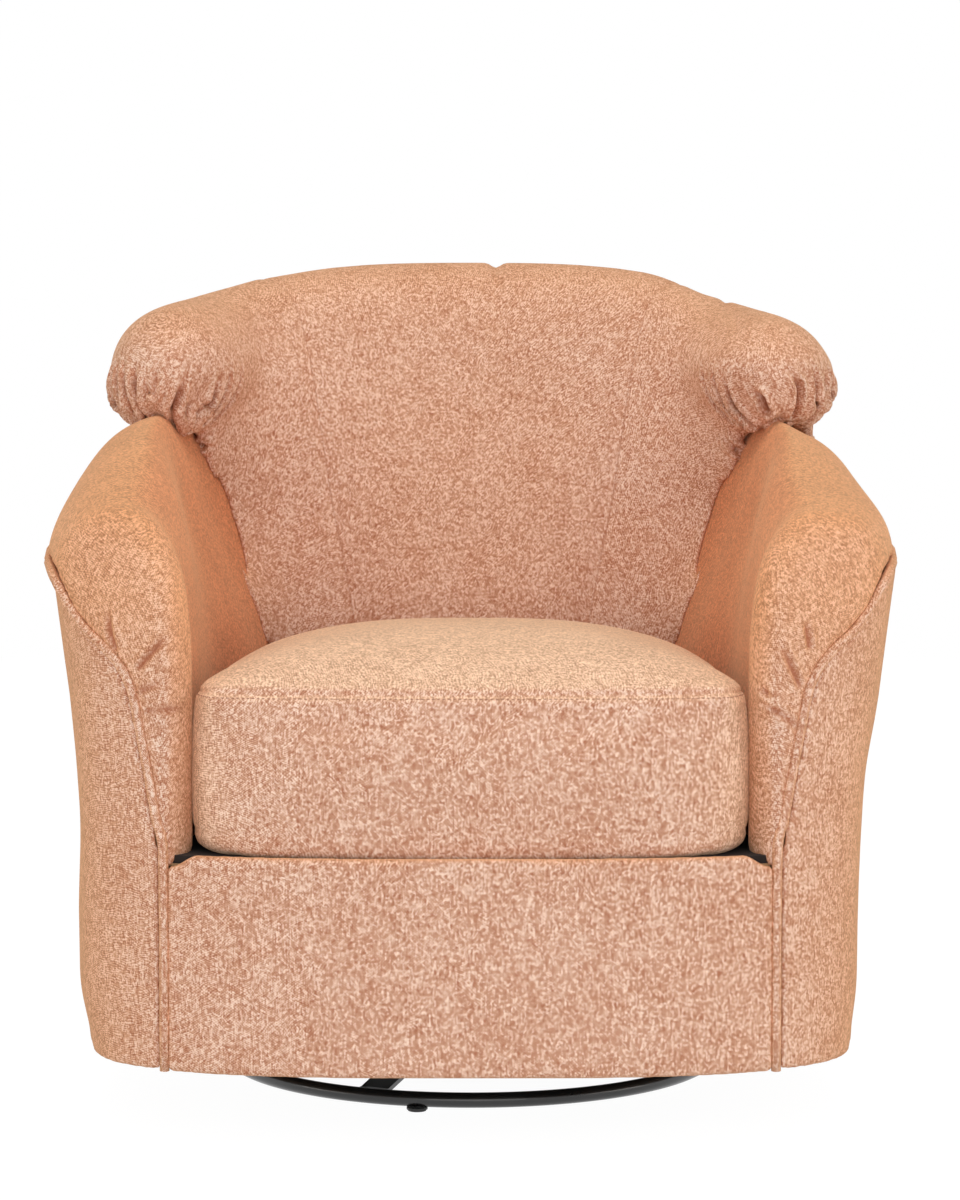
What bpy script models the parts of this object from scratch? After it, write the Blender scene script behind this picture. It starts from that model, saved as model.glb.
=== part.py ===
"""A swivel glider chair: upholstered tub seat on swing links, a ball-race turntable and a floor ring.

Metres, +Z up. The origin is on the floor under the middle of the chair, on the swivel axis.
The chair faces -Y. Right means +X.
"""

import math

import bmesh
import bpy
import numpy as np
from mathutils import Matrix, Vector

# Fits
CLEARANCE = 0.0003
SEAM_ROOM = 0.0028
DRILL_LENGTH = 0.020

# Overall size of the upholstered body
HALF_DEPTH = 0.4575
HALF_WIDTH = 0.408
ARM_FLARE = 0.0315
FLARE_POWER = 1.15
SKIRT_Z = 0.076
DECK_TOP = 0.288
FLARE_Z = 0.300
PANEL_T = 0.010

# Plan of the body: the rounded front, the straight sides and the barrel back
FRONT_DEPTH = 0.2575
FRONT_CENTRE_Y = FRONT_DEPTH - HALF_DEPTH
FRONT_POWER = 3.1
BACK_CENTRE_Y = 0.000
BACK_POWER = 2.3
REAR_LOW_BEHIND_CREST = 0.0095
REAR_HIGH_BEHIND_CREST = 0.0625
REAR_TOP_Z = 0.780
REAR_SEAM_DEG = 50.0
REAR_START_DEG = 35.0
REAR_STEP = 0.006
SHELL_GAP_DEG = 0.05
SHELL_STEPS = 3
BACK_PANEL_ROWS = 11

# Arms
ARM_NOSE_X = 0.350
ARM_NOSE_SETBACK = 0.1275
ARM_NOSE_Y = ARM_NOSE_SETBACK - HALF_DEPTH
ARM_NOSE_TOP = 0.635
ARM_RISE = 0.095
ARM_RISE_LENGTH = 0.450
ARM_END_Y = 0.197
ARM_INNER_X = 0.280
ARM_INNER_LEAN = 0.012
ARM_INNER_SHOULDER_Z = 0.520
ARM_TOE_IN = 0.046
ARM_TOE_LEAN = 0.55
ARM_TOE_Y = -0.075
ARM_TOE_LENGTH = 0.150
ARM_FRONT_SHOULDER_Z = 0.500
ARM_TIP_Z = 0.562
ARM_TIP_RISE = 0.070
ARM_PAD_T = 0.035
SHOULDER_STEPS = 5
WALL_STEPS = 5

# The welt seam: upright beside the front rail, then up the front of the arm as (distance from the
# middle, height), to the tip of the arm and back along its side
WELT_FOOT_X = 0.3025
WELT_LINE = ((WELT_FOOT_X, DECK_TOP + CLEARANCE), (0.316, 0.362), (0.3265, 0.416),
             (0.336, 0.458), (0.357, 0.4885), (0.390, 0.517))
WELT_R = 0.0038
WELT_END_Y = 0.060
WELT_POINTS = 32
SEAM_STEPS = 12
SEAM_SAMPLES = 120

# Inside back: crest line in plan, and the sections across it as (offset from the crest, height)
CREST_X = 0.335
CREST_CENTRE_Y = 0.120
CREST_DEPTH = 0.2555
CREST_Y = CREST_CENTRE_Y + CREST_DEPTH
CREST_SPAN_DEG = 88.0
SIDE_BLEND_POWER = 3
CENTRE_RAYS = 13
SIDE_RAYS = 6
FACE_STEPS = 12
ROLL_STEPS = 7
BACK_SEAM_DEG = 47.0
BACK_SEAM_GAP = 0.0004
BACK_PAD_T = 0.045
WING_PAD_T = 0.018
WING_HOLLOW_R = 0.006
WING_RADII = (0.083, 0.095, 0.078)
WING_SEGMENTS = 18
WING_ROOT_DEG = 60.0
WING_ROOT_Z = 0.722
WING_ROOT_INSET = 0.004
MIDDLE_FRONT = ((0.0, 0.912), (-0.045, 0.893), (-0.078, 0.845), (-0.120, 0.740),
                (-0.175, 0.610), (-0.228, 0.470), (-0.245, DECK_TOP + CLEARANCE))
MIDDLE_REAR = ((0.0, 0.912), (0.046, 0.895), (0.077, 0.856), (0.080, 0.815), (0.066, 0.786))
WING_FRONT = ((0.0, 0.851), (-0.050, 0.835), (-0.073, 0.785), (-0.066, 0.715),
              (-0.062, 0.600), (-0.095, 0.470), (-0.100, DECK_TOP + CLEARANCE))
WING_REAR = ((0.0, 0.851), (0.040, 0.838), (0.072, 0.797), (0.074, 0.757), (0.052, 0.724))

# Seat cushion
CUSHION_HALF_WIDTH = 0.2765
CUSHION_SIDE_GAP = 0.0015
CUSHION_SETBACK = 0.0045
CUSHION_FRONT_Y = CUSHION_SETBACK - HALF_DEPTH
CUSHION_BEFORE_CREST = 0.2855
CUSHION_BACK_Y = CREST_Y - CUSHION_BEFORE_CREST
CUSHION_SEAM_Z = 0.452
CUSHION_CROWN_Z = 0.503
CUSHION_POWER_FRONT = 9.0
CUSHION_POWER_BACK = 3.2
CUSHION_DRAW_IN = 0.006
CUSHION_POINTS = 48

# Rings of the cushion: up its side as (times drawn in, share of the height to the seam), then
# over its crown as shares of its outline
CUSHION_SIDE = ((1.8, 0.0), (0.7, 0.04), (0.2, 0.12), (0.0, 0.45), (0.4, 0.9), (1.0, 1.0))
CUSHION_CROWN = (0.95, 0.88, 0.76, 0.58, 0.38, 0.18)

# Front rail cover and deck
COVER_T = 0.012
COVER_HALF = WELT_FOOT_X - WELT_R - 3 * CLEARANCE
FRONT_STATIONS = [float(x) for x in np.linspace(-COVER_HALF, COVER_HALF, 15)]
DECK_T = 0.008

# Wooden frame
RAIL_T = 0.020
SIDE_RAIL_IN = 0.2966
SIDE_RAIL_OUT = 0.3347
RAIL_LOW = 0.105
BACK_RAIL_BEFORE_CREST = 0.1975
SEAT_BACK_RAIL_Y = CREST_Y - BACK_RAIL_BEFORE_CREST
ARM_PANEL_T = 0.018
ARM_PANEL_TOP = 0.515
ARM_PANEL_SETBACK = 0.005
ARM_PANEL_FRONT_Y = ARM_NOSE_Y + ARM_PANEL_SETBACK
ARM_PANEL_REAR_Y = 0.110
BACK_POST_X = 0.195
BACK_POST_WIDTH = 0.042
BACK_POST_T = 0.022
BACK_POST_LEAN = 0.100
BACK_POST_TOP = 0.700
BACK_RAIL_HEIGHT = 0.070
SLAT_WIDTH = 0.060
SLAT_T = 0.025
WOOD_EDGE = 0.002

# Seat springs
SPRING_COUNT = 4
SPRING_PITCH_X = 0.125
SPRING_WIRE_R = 0.0018
SPRING_SWING = 0.024
SPRING_BENDS = 9
SPRING_END = 0.012
SPRING_TIES = 3
SPRING_TIE_PITCH = 0.130

# Floor base
RING_R = 0.2686
RING_TUBE_R = 0.008
GLIDE_HEIGHT = 0.004
GLIDE_R = 0.011
GLIDE_FOOT_R = 0.0095
GLIDE_FOOT_HEIGHT = 0.0015
BASE_ARM_WIDTH = 0.032
BASE_ARM_T = 0.005
BASE_ARM_TURN_DEG = -115.0
GLIDE_TURN_DEG = -102.0
BASE_ARM_INNER_R = 0.030
BASE_ARM_FOOT = 0.020
HUB_R = 0.085
HUB_Z = 0.050
HUB_T = 0.005

# Ball race and turntable
RACE_OUTER_R = 0.070
RACE_INNER_R = 0.050
RACE_T = 0.006
RETAINER_T = 0.004
PIVOT_R = 0.008
PIVOT_HEAD_R = 0.016
PIVOT_HEAD_T = 0.005
TURNTABLE_T = 0.004
TURNTABLE_HALF_X = 0.120
TURNTABLE_PAST_LINK = 0.015
CROSS_SIZE = 0.020
CROSS_BEFORE_LINK = 0.010
CROSS_EDGE = 0.002

# Swing links
LINK_LENGTH = 0.110
LINK_UPPER_Z = 0.212
LINK_BEFORE_RAIL = 0.058
LINK_Y = SEAT_BACK_RAIL_Y - LINK_BEFORE_RAIL
LINK_WIDTH = 0.026
LINK_T = 0.004
PLATE_T = 0.003
PLATE_IN_X = 0.145
PLANE_GAP = 0.0035
PIN_R = 0.004
PIN_SHOULDER_R = 0.006
PIN_HEAD_R = 0.007
PIN_HEAD_T = 0.0025
HANGER_FLANGE = 0.030
HANGER_PAST_LINK = 0.035
SIDE_PLATE_PAST_LINK = 0.016
SIDE_PLATE_FOOT_HEIGHT = 0.030
SIDE_PLATE_CORNER = 0.006

# End of the glide: the links meet rubber-sleeved bars
SWING_DEG = 20.0
STOP_BAR_R = 0.008
STOP_BAR_Z = 0.110
STOP_BAR_END = 0.001
STOP_ROOM = 0.0005

# Heights of the stack and lengths of the mechanism that follow from the sizes above
RING_Z = GLIDE_HEIGHT + RING_TUBE_R
LOWER_RACE_Z = HUB_Z + HUB_T + CLEARANCE
RETAINER_Z = LOWER_RACE_Z + RACE_T + CLEARANCE
UPPER_RACE_Z = RETAINER_Z + RETAINER_T + CLEARANCE
TURNTABLE_Z = UPPER_RACE_Z + RACE_T + CLEARANCE
CROSS_Z = TURNTABLE_Z + TURNTABLE_T + CLEARANCE
LINK_LOWER_Z = LINK_UPPER_Z - LINK_LENGTH
LINK_IN_X = PLATE_IN_X + PLATE_T + PLANE_GAP
HANGER_IN_X = LINK_IN_X + LINK_T + PLANE_GAP
RAIL_TOP = DECK_TOP - DECK_T - CLEARANCE
SLAT_Z = RAIL_TOP - SLAT_T - 2 * SPRING_WIRE_R - CLEARANCE
HANGER_TOP = SLAT_Z - CLEARANCE
LINK_LOW_EDGE = LINK_LOWER_Z - LINK_WIDTH / 2
TURNTABLE_HALF_Y = LINK_Y + TURNTABLE_PAST_LINK
CROSS_Y = LINK_Y - CROSS_BEFORE_LINK
HANGER_HALF_LENGTH = LINK_Y + HANGER_PAST_LINK
SIDE_PLATE_FOOT = LINK_Y + SIDE_PLATE_PAST_LINK

FABRIC = ("upholstery_fabric", (0.66, 0.36, 0.24), 0.95, 0.0)
BLACK_CLOTH = ("decking_cloth", (0.02, 0.02, 0.02), 0.95, 0.0)
WOOD = ("frame_wood", (0.62, 0.45, 0.28), 0.7, 0.0)
BLACK_STEEL = ("black_steel", (0.025, 0.025, 0.027), 0.35, 0.6)
ZINC_STEEL = ("zinc_steel", (0.55, 0.55, 0.54), 0.35, 1.0)
RUBBER = ("black_rubber", (0.02, 0.02, 0.02), 0.85, 0.0)
NYLON = ("glide_nylon", (0.03, 0.03, 0.03), 0.5, 0.0)


def clear_scene():
    for item in list(bpy.data.objects):
        bpy.data.objects.remove(item, do_unlink=True)


def material(finish):
    name, colour, roughness, metallic = finish
    made = bpy.data.materials.get(name)
    if made is None:
        made = bpy.data.materials.new(name)
        made.use_nodes = True
        shader = made.node_tree.nodes["Principled BSDF"]
        shader.inputs["Base Color"].default_value = (*colour, 1.0)
        shader.inputs["Roughness"].default_value = roughness
        shader.inputs["Metallic"].default_value = metallic
    return made


def add_object(name, mesh, finish, smooth=True):
    mesh.materials.append(material(finish))
    if smooth:
        mesh.shade_smooth()
        mesh.set_sharp_from_angle(angle=math.radians(40))
    made = bpy.data.objects.new(name, mesh)
    bpy.context.scene.collection.objects.link(made)
    return made


def mesh_from(name, points, faces):
    """A mesh with doubled points merged, collapsed faces gone and normals facing out."""
    mesh = bpy.data.meshes.new(name)
    form = bmesh.new()
    corners = [form.verts.new(point) for point in points]
    for face in faces:
        unique = []
        for index in face:
            if corners[index] not in unique:
                unique.append(corners[index])
        form.faces.new(unique)
    bmesh.ops.remove_doubles(form, verts=form.verts, dist=1e-6)
    bmesh.ops.dissolve_degenerate(form, edges=form.edges, dist=1e-6)
    bmesh.ops.recalc_face_normals(form, faces=form.faces)
    form.to_mesh(mesh)
    form.free()
    return mesh


def box(name, low, high, finish, bevel=0.0):
    """A block between two corners, with its origin at its middle."""
    low = Vector(low)
    high = Vector(high)
    form = bmesh.new()
    bmesh.ops.create_cube(form, size=1.0)
    bmesh.ops.scale(form, vec=high - low, verts=form.verts)
    mesh = bpy.data.meshes.new(name)
    form.to_mesh(mesh)
    form.free()
    made = add_object(name, mesh, finish, smooth=False)
    made.location = (low + high) / 2
    if bevel:
        rounding = made.modifiers.new("rounding", "BEVEL")
        rounding.width = bevel
        rounding.segments = 2
    return made


def prism(name, outline, axis, low, high, finish, smooth=False):
    """A flat outline pushed along an axis: 0 for X, 1 for Y, 2 for Z."""
    count = len(outline)
    points = []
    for level in (low, high):
        for first, second in outline:
            place = [first, second]
            place.insert(axis, level)
            points.append(place)
    faces = [list(range(count))[::-1], list(range(count, 2 * count))]
    for index in range(count):
        after = (index + 1) % count
        faces.append([index, after, after + count, index + count])
    return add_object(name, mesh_from(name, points, faces), finish, smooth)


def turned(name, profile, centre, axis, finish, steps=24, closed=True):
    """A (radius, distance) outline turned about an axis: closed, or open with both ends on the axis."""
    points = []
    for step in range(steps):
        turn = 2 * math.pi * step / steps
        for radius, along in profile:
            across = [radius * math.cos(turn), radius * math.sin(turn)]
            across.insert(axis, along)
            points.append([centre[i] + across[i] for i in range(3)])
    count = len(profile)
    spans = count if closed else count - 1
    faces = []
    for step in range(steps):
        after = (step + 1) % steps
        for index in range(spans):
            follow = (index + 1) % count
            faces.append([step * count + index, step * count + follow,
                          after * count + follow, after * count + index])
    return add_object(name, mesh_from(name, points, faces), finish)


def rod(name, sections, centre, axis, finish, steps=16):
    """A solid turned piece from (radius, start, end) sections that follow each other."""
    profile = [(0.0, sections[0][1])]
    for radius, start, end in sections:
        profile.append((radius, start))
        profile.append((radius, end))
    profile.append((0.0, sections[-1][2]))
    return turned(name, profile, centre, axis, finish, steps, False)


def carry(piece, carrier):
    """Hang a piece on a carrier without moving it; both stand unturned where their location says."""
    piece.parent = carrier
    piece.matrix_parent_inverse = Matrix.Translation(carrier.location).inverted()


def guide(piece, target):
    """A hidden helper of a modifier, which moves with its target."""
    piece.hide_render = True
    piece.display_type = "WIRE"
    carry(piece, target)


def joint_axis(name, place, carrier=None):
    """An empty on a joint's axis."""
    axis = bpy.data.objects.new(name, None)
    axis.location = place
    bpy.context.scene.collection.objects.link(axis)
    if carrier:
        carry(axis, carrier)
    return axis


def hang(axis, build, *choices):
    """Build some pieces and hang them on the empty that they turn with."""
    before = set(bpy.data.objects.keys())
    build(*choices)
    for piece in bpy.data.objects:
        if piece.name not in before and piece.parent is None:
            carry(piece, axis)


def cut_away(target, cutter):
    """Cut one piece with a hidden guide."""
    guide(cutter, target)
    slot = target.modifiers.new("cut", "BOOLEAN")
    slot.operation = "DIFFERENCE"
    slot.object = cutter


def join_on(target, other):
    """Make another solid part of a piece."""
    guide(other, target)
    slot = target.modifiers.new("join", "BOOLEAN")
    slot.operation = "UNION"
    slot.object = other


def hole(target, name, centre, axis, radius, steps=12):
    drill = rod(name, [(radius, -DRILL_LENGTH / 2, DRILL_LENGTH / 2)], centre, axis, ZINC_STEEL, steps)
    cut_away(target, drill)


def grid_faces(rows, columns, start=0, flip=False):
    faces = []
    for row in range(rows - 1):
        for column in range(columns - 1):
            first = start + row * columns + column
            face = [first, first + 1, first + columns + 1, first + columns]
            faces.append(face[::-1] if flip else face)
    return faces


def thick_sheet(name, outer, inner, finish, ridged=False):
    """A closed padded sheet from two equal grids of points, an outer one and an inner one.

    The first column of a ridged sheet is a ridge where its two sides meet, so it has no rim there.
    """
    rows = len(outer)
    columns = len(outer[0])
    points = [point for row in outer for point in row] + [point for row in inner for point in row]
    half = rows * columns
    faces = grid_faces(rows, columns) + grid_faces(rows, columns, half, True)
    rim = [(0, column) for column in range(columns)]
    rim += [(row, columns - 1) for row in range(1, rows)]
    rim += [(rows - 1, column) for column in range(columns - 2, -1, -1)]
    if not ridged:
        rim += [(row, 0) for row in range(rows - 2, 0, -1)]
        rim.append((0, 0))
    for place, follow in zip(rim, rim[1:]):
        first = place[0] * columns + place[1]
        second = follow[0] * columns + follow[1]
        faces.append([first, first + half, second + half, second])
    return add_object(name, mesh_from(name, points, faces), finish)


def smooth_step(value):
    value = min(max(value, 0.0), 1.0)
    return value * value * (3 - 2 * value)


def curve_through(controls, count):
    """Points at even steps on a smooth curve through the control points."""
    controls = [np.array(point, float) for point in controls]
    padded = [2 * controls[0] - controls[1]] + controls + [2 * controls[-1] - controls[-2]]
    made = []
    for step in range(count):
        place = step / (count - 1) * (len(controls) - 1)
        span = min(int(place), len(controls) - 2)
        t = place - span
        p0, p1, p2, p3 = padded[span:span + 4]
        made.append(0.5 * (2 * p1 + (p2 - p0) * t + (2 * p0 - 5 * p1 + 4 * p2 - p3) * t ** 2
                           + (3 * p1 - p0 - 3 * p2 + p3) * t ** 3))
    return made


def wire(name, route, count, radius, finish, resolution=0):
    """A round cord or wire along a smooth route."""
    curve = bpy.data.curves.new(name, "CURVE")
    curve.dimensions = "3D"
    curve.bevel_depth = radius
    curve.bevel_resolution = resolution
    curve.use_fill_caps = True
    line = curve.splines.new("POLY")
    points = curve_through(route, count)
    line.points.add(len(points) - 1)
    for place, point in zip(line.points, points):
        place.co = (*point, 1.0)
    guide = bpy.data.objects.new(name, curve)
    bpy.context.scene.collection.objects.link(guide)
    evaluated = guide.evaluated_get(bpy.context.evaluated_depsgraph_get())
    mesh = bpy.data.meshes.new_from_object(evaluated)
    bpy.data.objects.remove(guide, do_unlink=True)
    return add_object(name, mesh, finish)


# Plan of the upholstered body
def half_width(z):
    """Half the width over the outside arms at a height: it flares above the cushion."""
    rise = min(max((z - FLARE_Z) / (ARM_TIP_Z - FLARE_Z), 0.0), 1.0)
    return HALF_WIDTH + ARM_FLARE * rise ** FLARE_POWER


def rear_y(z):
    rise = (z - SKIRT_Z) / (REAR_TOP_Z - SKIRT_Z)
    return CREST_Y + REAR_LOW_BEHIND_CREST + (REAR_HIGH_BEHIND_CREST - REAR_LOW_BEHIND_CREST) * rise


def front_y(x, z):
    """The front of the body at a distance from the middle."""
    share = min(abs(x) / half_width(z), 1.0)
    bow = (1 - share ** FRONT_POWER) ** (1 / FRONT_POWER)
    return FRONT_CENTRE_Y - (HALF_DEPTH + FRONT_CENTRE_Y) * bow


def front_line(x):
    """The front of the body below the cushion, as the straight runs between its stations."""
    return float(np.interp(x, FRONT_STATIONS, [front_y(place, SKIRT_Z) for place in FRONT_STATIONS]))


def front_stations(half):
    """Stations across the front out to a distance from the middle."""
    inside = [x for x in FRONT_STATIONS if abs(x) < half - CLEARANCE]
    return [-half] + inside + [half]


def outside_level(x, y, z):
    """Negative inside the plan outline at a height, positive outside."""
    wide = abs(x) / half_width(z)
    if y < FRONT_CENTRE_Y:
        deep = (FRONT_CENTRE_Y - y) / (HALF_DEPTH + FRONT_CENTRE_Y)
        return wide ** FRONT_POWER + deep ** FRONT_POWER - 1
    if y > BACK_CENTRE_Y:
        deep = (y - BACK_CENTRE_Y) / (rear_y(z) - BACK_CENTRE_Y)
        return wide ** BACK_POWER + deep ** BACK_POWER - 1
    return wide - 1


def reach(origin, direction, z):
    """How far the outer wall is from a point inside, along a level direction."""
    near = 0.0
    far = 0.6
    for _ in range(40):
        middle = (near + far) / 2
        if outside_level(origin[0] + direction[0] * middle, origin[1] + direction[1] * middle, z) < 0:
            near = middle
        else:
            far = middle
    return near


# Arm surface: rays that leave the ridge of the arm
def ridge_z(y):
    share = min(max((y - ARM_NOSE_Y) / ARM_RISE_LENGTH, 0.0), 1.0)
    return ARM_NOSE_TOP + ARM_RISE * math.sin(share * math.pi / 2)


def seam_z_side(y):
    """Height of the arm's outer seam along the side."""
    share = min(max((y - ARM_NOSE_Y) / ARM_RISE_LENGTH, 0.0), 1.0)
    return ARM_TIP_Z + ARM_TIP_RISE * share


def ridge_x(y):
    """The ridge follows the outer wall where the barrel back narrows."""
    wall = reach((0.0, y), (1.0, 0.0), ARM_TIP_Z)
    return ARM_NOSE_X - max(half_width(ARM_TIP_Z) - wall, 0.0) * (1.0 if y > BACK_CENTRE_Y else 0.0)


def nose_point(angle, z, inset=0.0):
    """A point on the outer wall, or a little inside it, on a ray round the arm's nose."""
    turn = math.radians(angle)
    direction = (math.cos(turn), -math.sin(turn))
    out = reach((ARM_NOSE_X, ARM_NOSE_Y), direction, z) - inset
    return (ARM_NOSE_X + direction[0] * out, ARM_NOSE_Y + direction[1] * out, z)


def seam_angle(x, z):
    return math.degrees(math.atan2(ARM_NOSE_Y - front_y(x, z), x - ARM_NOSE_X))


WELT_FOOT_DEG = seam_angle(*WELT_LINE[0])
SIDE_STATIONS = [float(y) for y in np.linspace(ARM_NOSE_Y, BACK_CENTRE_Y, 6)]
SIDE_STATIONS += [float(y) for y in np.linspace(BACK_CENTRE_Y, ARM_END_Y, 5)[1:]]


def seam_route(room=0.0):
    """Ray angle and height at even steps along the seam round the nose, shifted square to it by a room.

    A positive room moves the seam up and inward, on to the arm pad.
    """
    controls = [(seam_angle(x, z), z) for x, z in WELT_LINE] + [(0.0, ARM_TIP_Z)]
    fine = np.array(curve_through(controls, SEAM_SAMPLES))
    places = np.array([nose_point(angle, z) for angle, z in fine])
    lengths = np.concatenate(([0.0], np.cumsum(np.linalg.norm(np.diff(places, axis=0), axis=1))))
    even = np.linspace(0.0, lengths[-1], SEAM_STEPS + 1)
    angles = np.interp(even, lengths, fine[:, 0])
    heights = np.interp(even, lengths, fine[:, 1])
    radii = [math.dist(nose_point(angle, z)[:2], (ARM_NOSE_X, ARM_NOSE_Y)) for angle, z in zip(angles, heights)]
    climb = np.gradient(heights)
    swing = np.radians(np.gradient(angles)) * radii
    step = np.hypot(climb, swing)
    angles = angles + np.degrees(room * climb / step / radii)
    heights = heights - room * swing / step
    return [(float(angle), float(z)) for angle, z in zip(angles, heights)]


def arm_rays(room=0.0):
    """Rays from the inner rear round the nose to the outer rear.

    Each has its origin, direction, angle, and the height of the arm pad's lower edge.
    """
    foot = DECK_TOP + CLEARANCE
    rays = [((ridge_x(y), y), (-1.0, 0.0), 180.0, foot) for y in SIDE_STATIONS[::-1]]
    seam = seam_route(room)
    inside = [(float(angle), foot) for angle in np.linspace(180.0, seam[0][0], 5)[1:-1]]
    for angle, z in inside + seam:
        turn = math.radians(angle)
        rays.append(((ARM_NOSE_X, ARM_NOSE_Y), (math.cos(turn), -math.sin(turn)), angle, z))
    rays += [((ridge_x(y), y), (1.0, 0.0), 0.0, seam_z_side(y) + room) for y in SIDE_STATIONS[1:]]
    return rays


def inner_reach(y, z):
    """Distance from the arm's ridge to its inside face, which leans outward as it rises and toes in behind."""
    share = min(max((z - DECK_TOP) / (ARM_INNER_SHOULDER_Z - DECK_TOP), 0.0), 1.0)
    toe = ARM_TOE_IN * smooth_step((y - ARM_TOE_Y) / ARM_TOE_LENGTH) * (1 - ARM_TOE_LEAN * share ** 2)
    return ARM_NOSE_X - ARM_INNER_X + toe - ARM_INNER_LEAN * share ** 2


def arm_reach(ray, z):
    """Distance from the ridge to the arm's surface at a height."""
    origin, direction, angle, _ = ray
    if angle <= WELT_FOOT_DEG:
        return reach(origin, direction, z)
    turn = math.radians(WELT_FOOT_DEG)
    at_welt = reach((ARM_NOSE_X, ARM_NOSE_Y), (math.cos(turn), -math.sin(turn)), z)
    share = smooth_step((angle - WELT_FOOT_DEG) / (180.0 - WELT_FOOT_DEG))
    return at_welt + (inner_reach(origin[1], z) - at_welt) * share


def shoulder_z(ray):
    """Height where the rounded top of the arm passes into its wall."""
    angle = ray[2]
    if angle < 90.0:
        start = seam_z_side(ray[0][1])
        return start + (ARM_FRONT_SHOULDER_Z - start) * smooth_step(angle / 90.0)
    return ARM_FRONT_SHOULDER_Z + (ARM_INNER_SHOULDER_Z - ARM_FRONT_SHOULDER_Z) * smooth_step(angle / 90.0 - 1)


def arm_profile(ray, low_z, inset):
    """Points from the ridge over the shoulder and down the wall to a height."""
    origin, direction = ray[:2]
    top = ridge_z(origin[1])
    start = max(shoulder_z(ray), low_z)
    points = []
    for step in range(SHOULDER_STEPS + 1):
        turn = math.pi / 2 * step / SHOULDER_STEPS
        out = (arm_reach(ray, start) - inset) * math.sin(turn)
        z = start + (top - inset - start) * math.cos(turn)
        points.append((origin[0] + direction[0] * out, origin[1] + direction[1] * out, z))
    for step in range(1, WALL_STEPS + 1):
        z = start + (low_z - start) * step / WALL_STEPS
        out = arm_reach(ray, z) - inset
        points.append((origin[0] + direction[0] * out, origin[1] + direction[1] * out, z))
    return points


def mirrored(points, side):
    return [(side * x, y, z) for x, y, z in points]


def arm_pad(side_name, side):
    rays = arm_rays(SEAM_ROOM)
    outer = [mirrored(arm_profile(ray, ray[3], 0.0), side) for ray in rays]
    inner = [mirrored(arm_profile(ray, ray[3], ARM_PAD_T), side) for ray in rays]
    return thick_sheet(f"arm_pad_{side_name}", outer, inner, FABRIC, True)


def arm_form(side_name, side):
    """The whole arm as one solid, a little larger, which cuts the inside back to fit."""
    rays = arm_rays()
    grown = [mirrored(arm_profile(ray, DECK_TOP - DECK_T, -2 * CLEARANCE), side) for ray in rays]
    columns = len(grown[0])
    points = [(x, y + (2 * CLEARANCE if y > ARM_END_Y - CLEARANCE else 0.0), z) for row in grown for x, y, z in row]
    faces = grid_faces(len(grown), columns)
    foot = [row * columns + columns - 1 for row in range(len(grown))]
    rear = list(range(columns))[::-1] + [(len(grown) - 1) * columns + column for column in range(1, columns)]
    faces.append(foot)
    faces.append(rear)
    return add_object(f"arm_form_{side_name}", mesh_from("arm_form", points, faces), FABRIC)


# Outer shell: outside arm panels, outside back and front rail cover
def rear_point(turn, z, inset):
    """A point on the barrel back; turn runs from 0 at the side to 90 degrees at the middle."""
    across = max(math.cos(turn), 0.0) ** (2 / BACK_POWER)
    deep = max(math.sin(turn), 0.0) ** (2 / BACK_POWER)
    wide = half_width(z) - inset
    return (wide * across, BACK_CENTRE_Y + (rear_y(z) - inset - BACK_CENTRE_Y) * deep, z)


def rear_top(x):
    """Upper edge of the outer shell behind the arms, just under the end of the roll."""
    high = MIDDLE_REAR[-1][1]
    around = min(x / (CREST_X + MIDDLE_REAR[-1][0]), 1.0)
    return high + (WING_REAR[-1][1] - high) * around ** SIDE_BLEND_POWER - SEAM_ROOM


def shell_column(at_height, top, side, outer, inner):
    """Add one upright row of a panel, from the skirt to its top, to its two grids."""
    levels = [float(z) for z in np.linspace(SKIRT_Z, top, SHELL_STEPS + 1)]
    outer.append(mirrored([at_height(z, 0.0) for z in levels], side))
    inner.append(mirrored([at_height(z, PANEL_T) for z in levels], side))


def outside_arm(side_name, side):
    outer = []
    inner = []
    for angle, top in seam_route(-SEAM_ROOM):
        shell_column(lambda z, inset: nose_point(angle, z, inset), top, side, outer, inner)
    for y in SIDE_STATIONS[1:]:
        shell_column(lambda z, inset: (reach((0.0, y), (1.0, 0.0), z) - inset, y, z),
                     seam_z_side(y) - SEAM_ROOM, side, outer, inner)
    step_y = ARM_END_Y + REAR_STEP
    step_top = rear_top(reach((0.0, step_y), (1.0, 0.0), WING_REAR[-1][1]))
    shell_column(lambda z, inset: (reach((0.0, step_y), (1.0, 0.0), z) - inset, step_y, z),
                 step_top, side, outer, inner)
    for degrees in np.linspace(REAR_START_DEG, REAR_SEAM_DEG - SHELL_GAP_DEG, 4):
        turn = math.radians(degrees)
        shell_column(lambda z, inset: rear_point(turn, z, inset), rear_top(rear_point(turn, REAR_TOP_Z, 0.0)[0]),
                     side, outer, inner)
    return thick_sheet(f"outside_arm_{side_name}", outer, inner, FABRIC)


def outside_back():
    outer = []
    inner = []
    for degrees in np.linspace(REAR_SEAM_DEG, 180.0 - REAR_SEAM_DEG, BACK_PANEL_ROWS):
        side = 1 if degrees <= 90.0 else -1
        turn = math.radians(min(degrees, 180.0 - degrees))
        shell_column(lambda z, inset: rear_point(turn, z, inset), rear_top(rear_point(turn, REAR_TOP_Z, 0.0)[0]),
                     side, outer, inner)
    return thick_sheet("outside_back", outer, inner, FABRIC)


def front_cover():
    outer = []
    inner = []
    for x in FRONT_STATIONS:
        outer.append([(x, front_line(x), z) for z in (SKIRT_Z, DECK_TOP)])
        inner.append([(x, front_line(x) + COVER_T, z) for z in (SKIRT_Z, DECK_TOP)])
    return thick_sheet("front_rail_cover", outer, inner, FABRIC)


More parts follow.
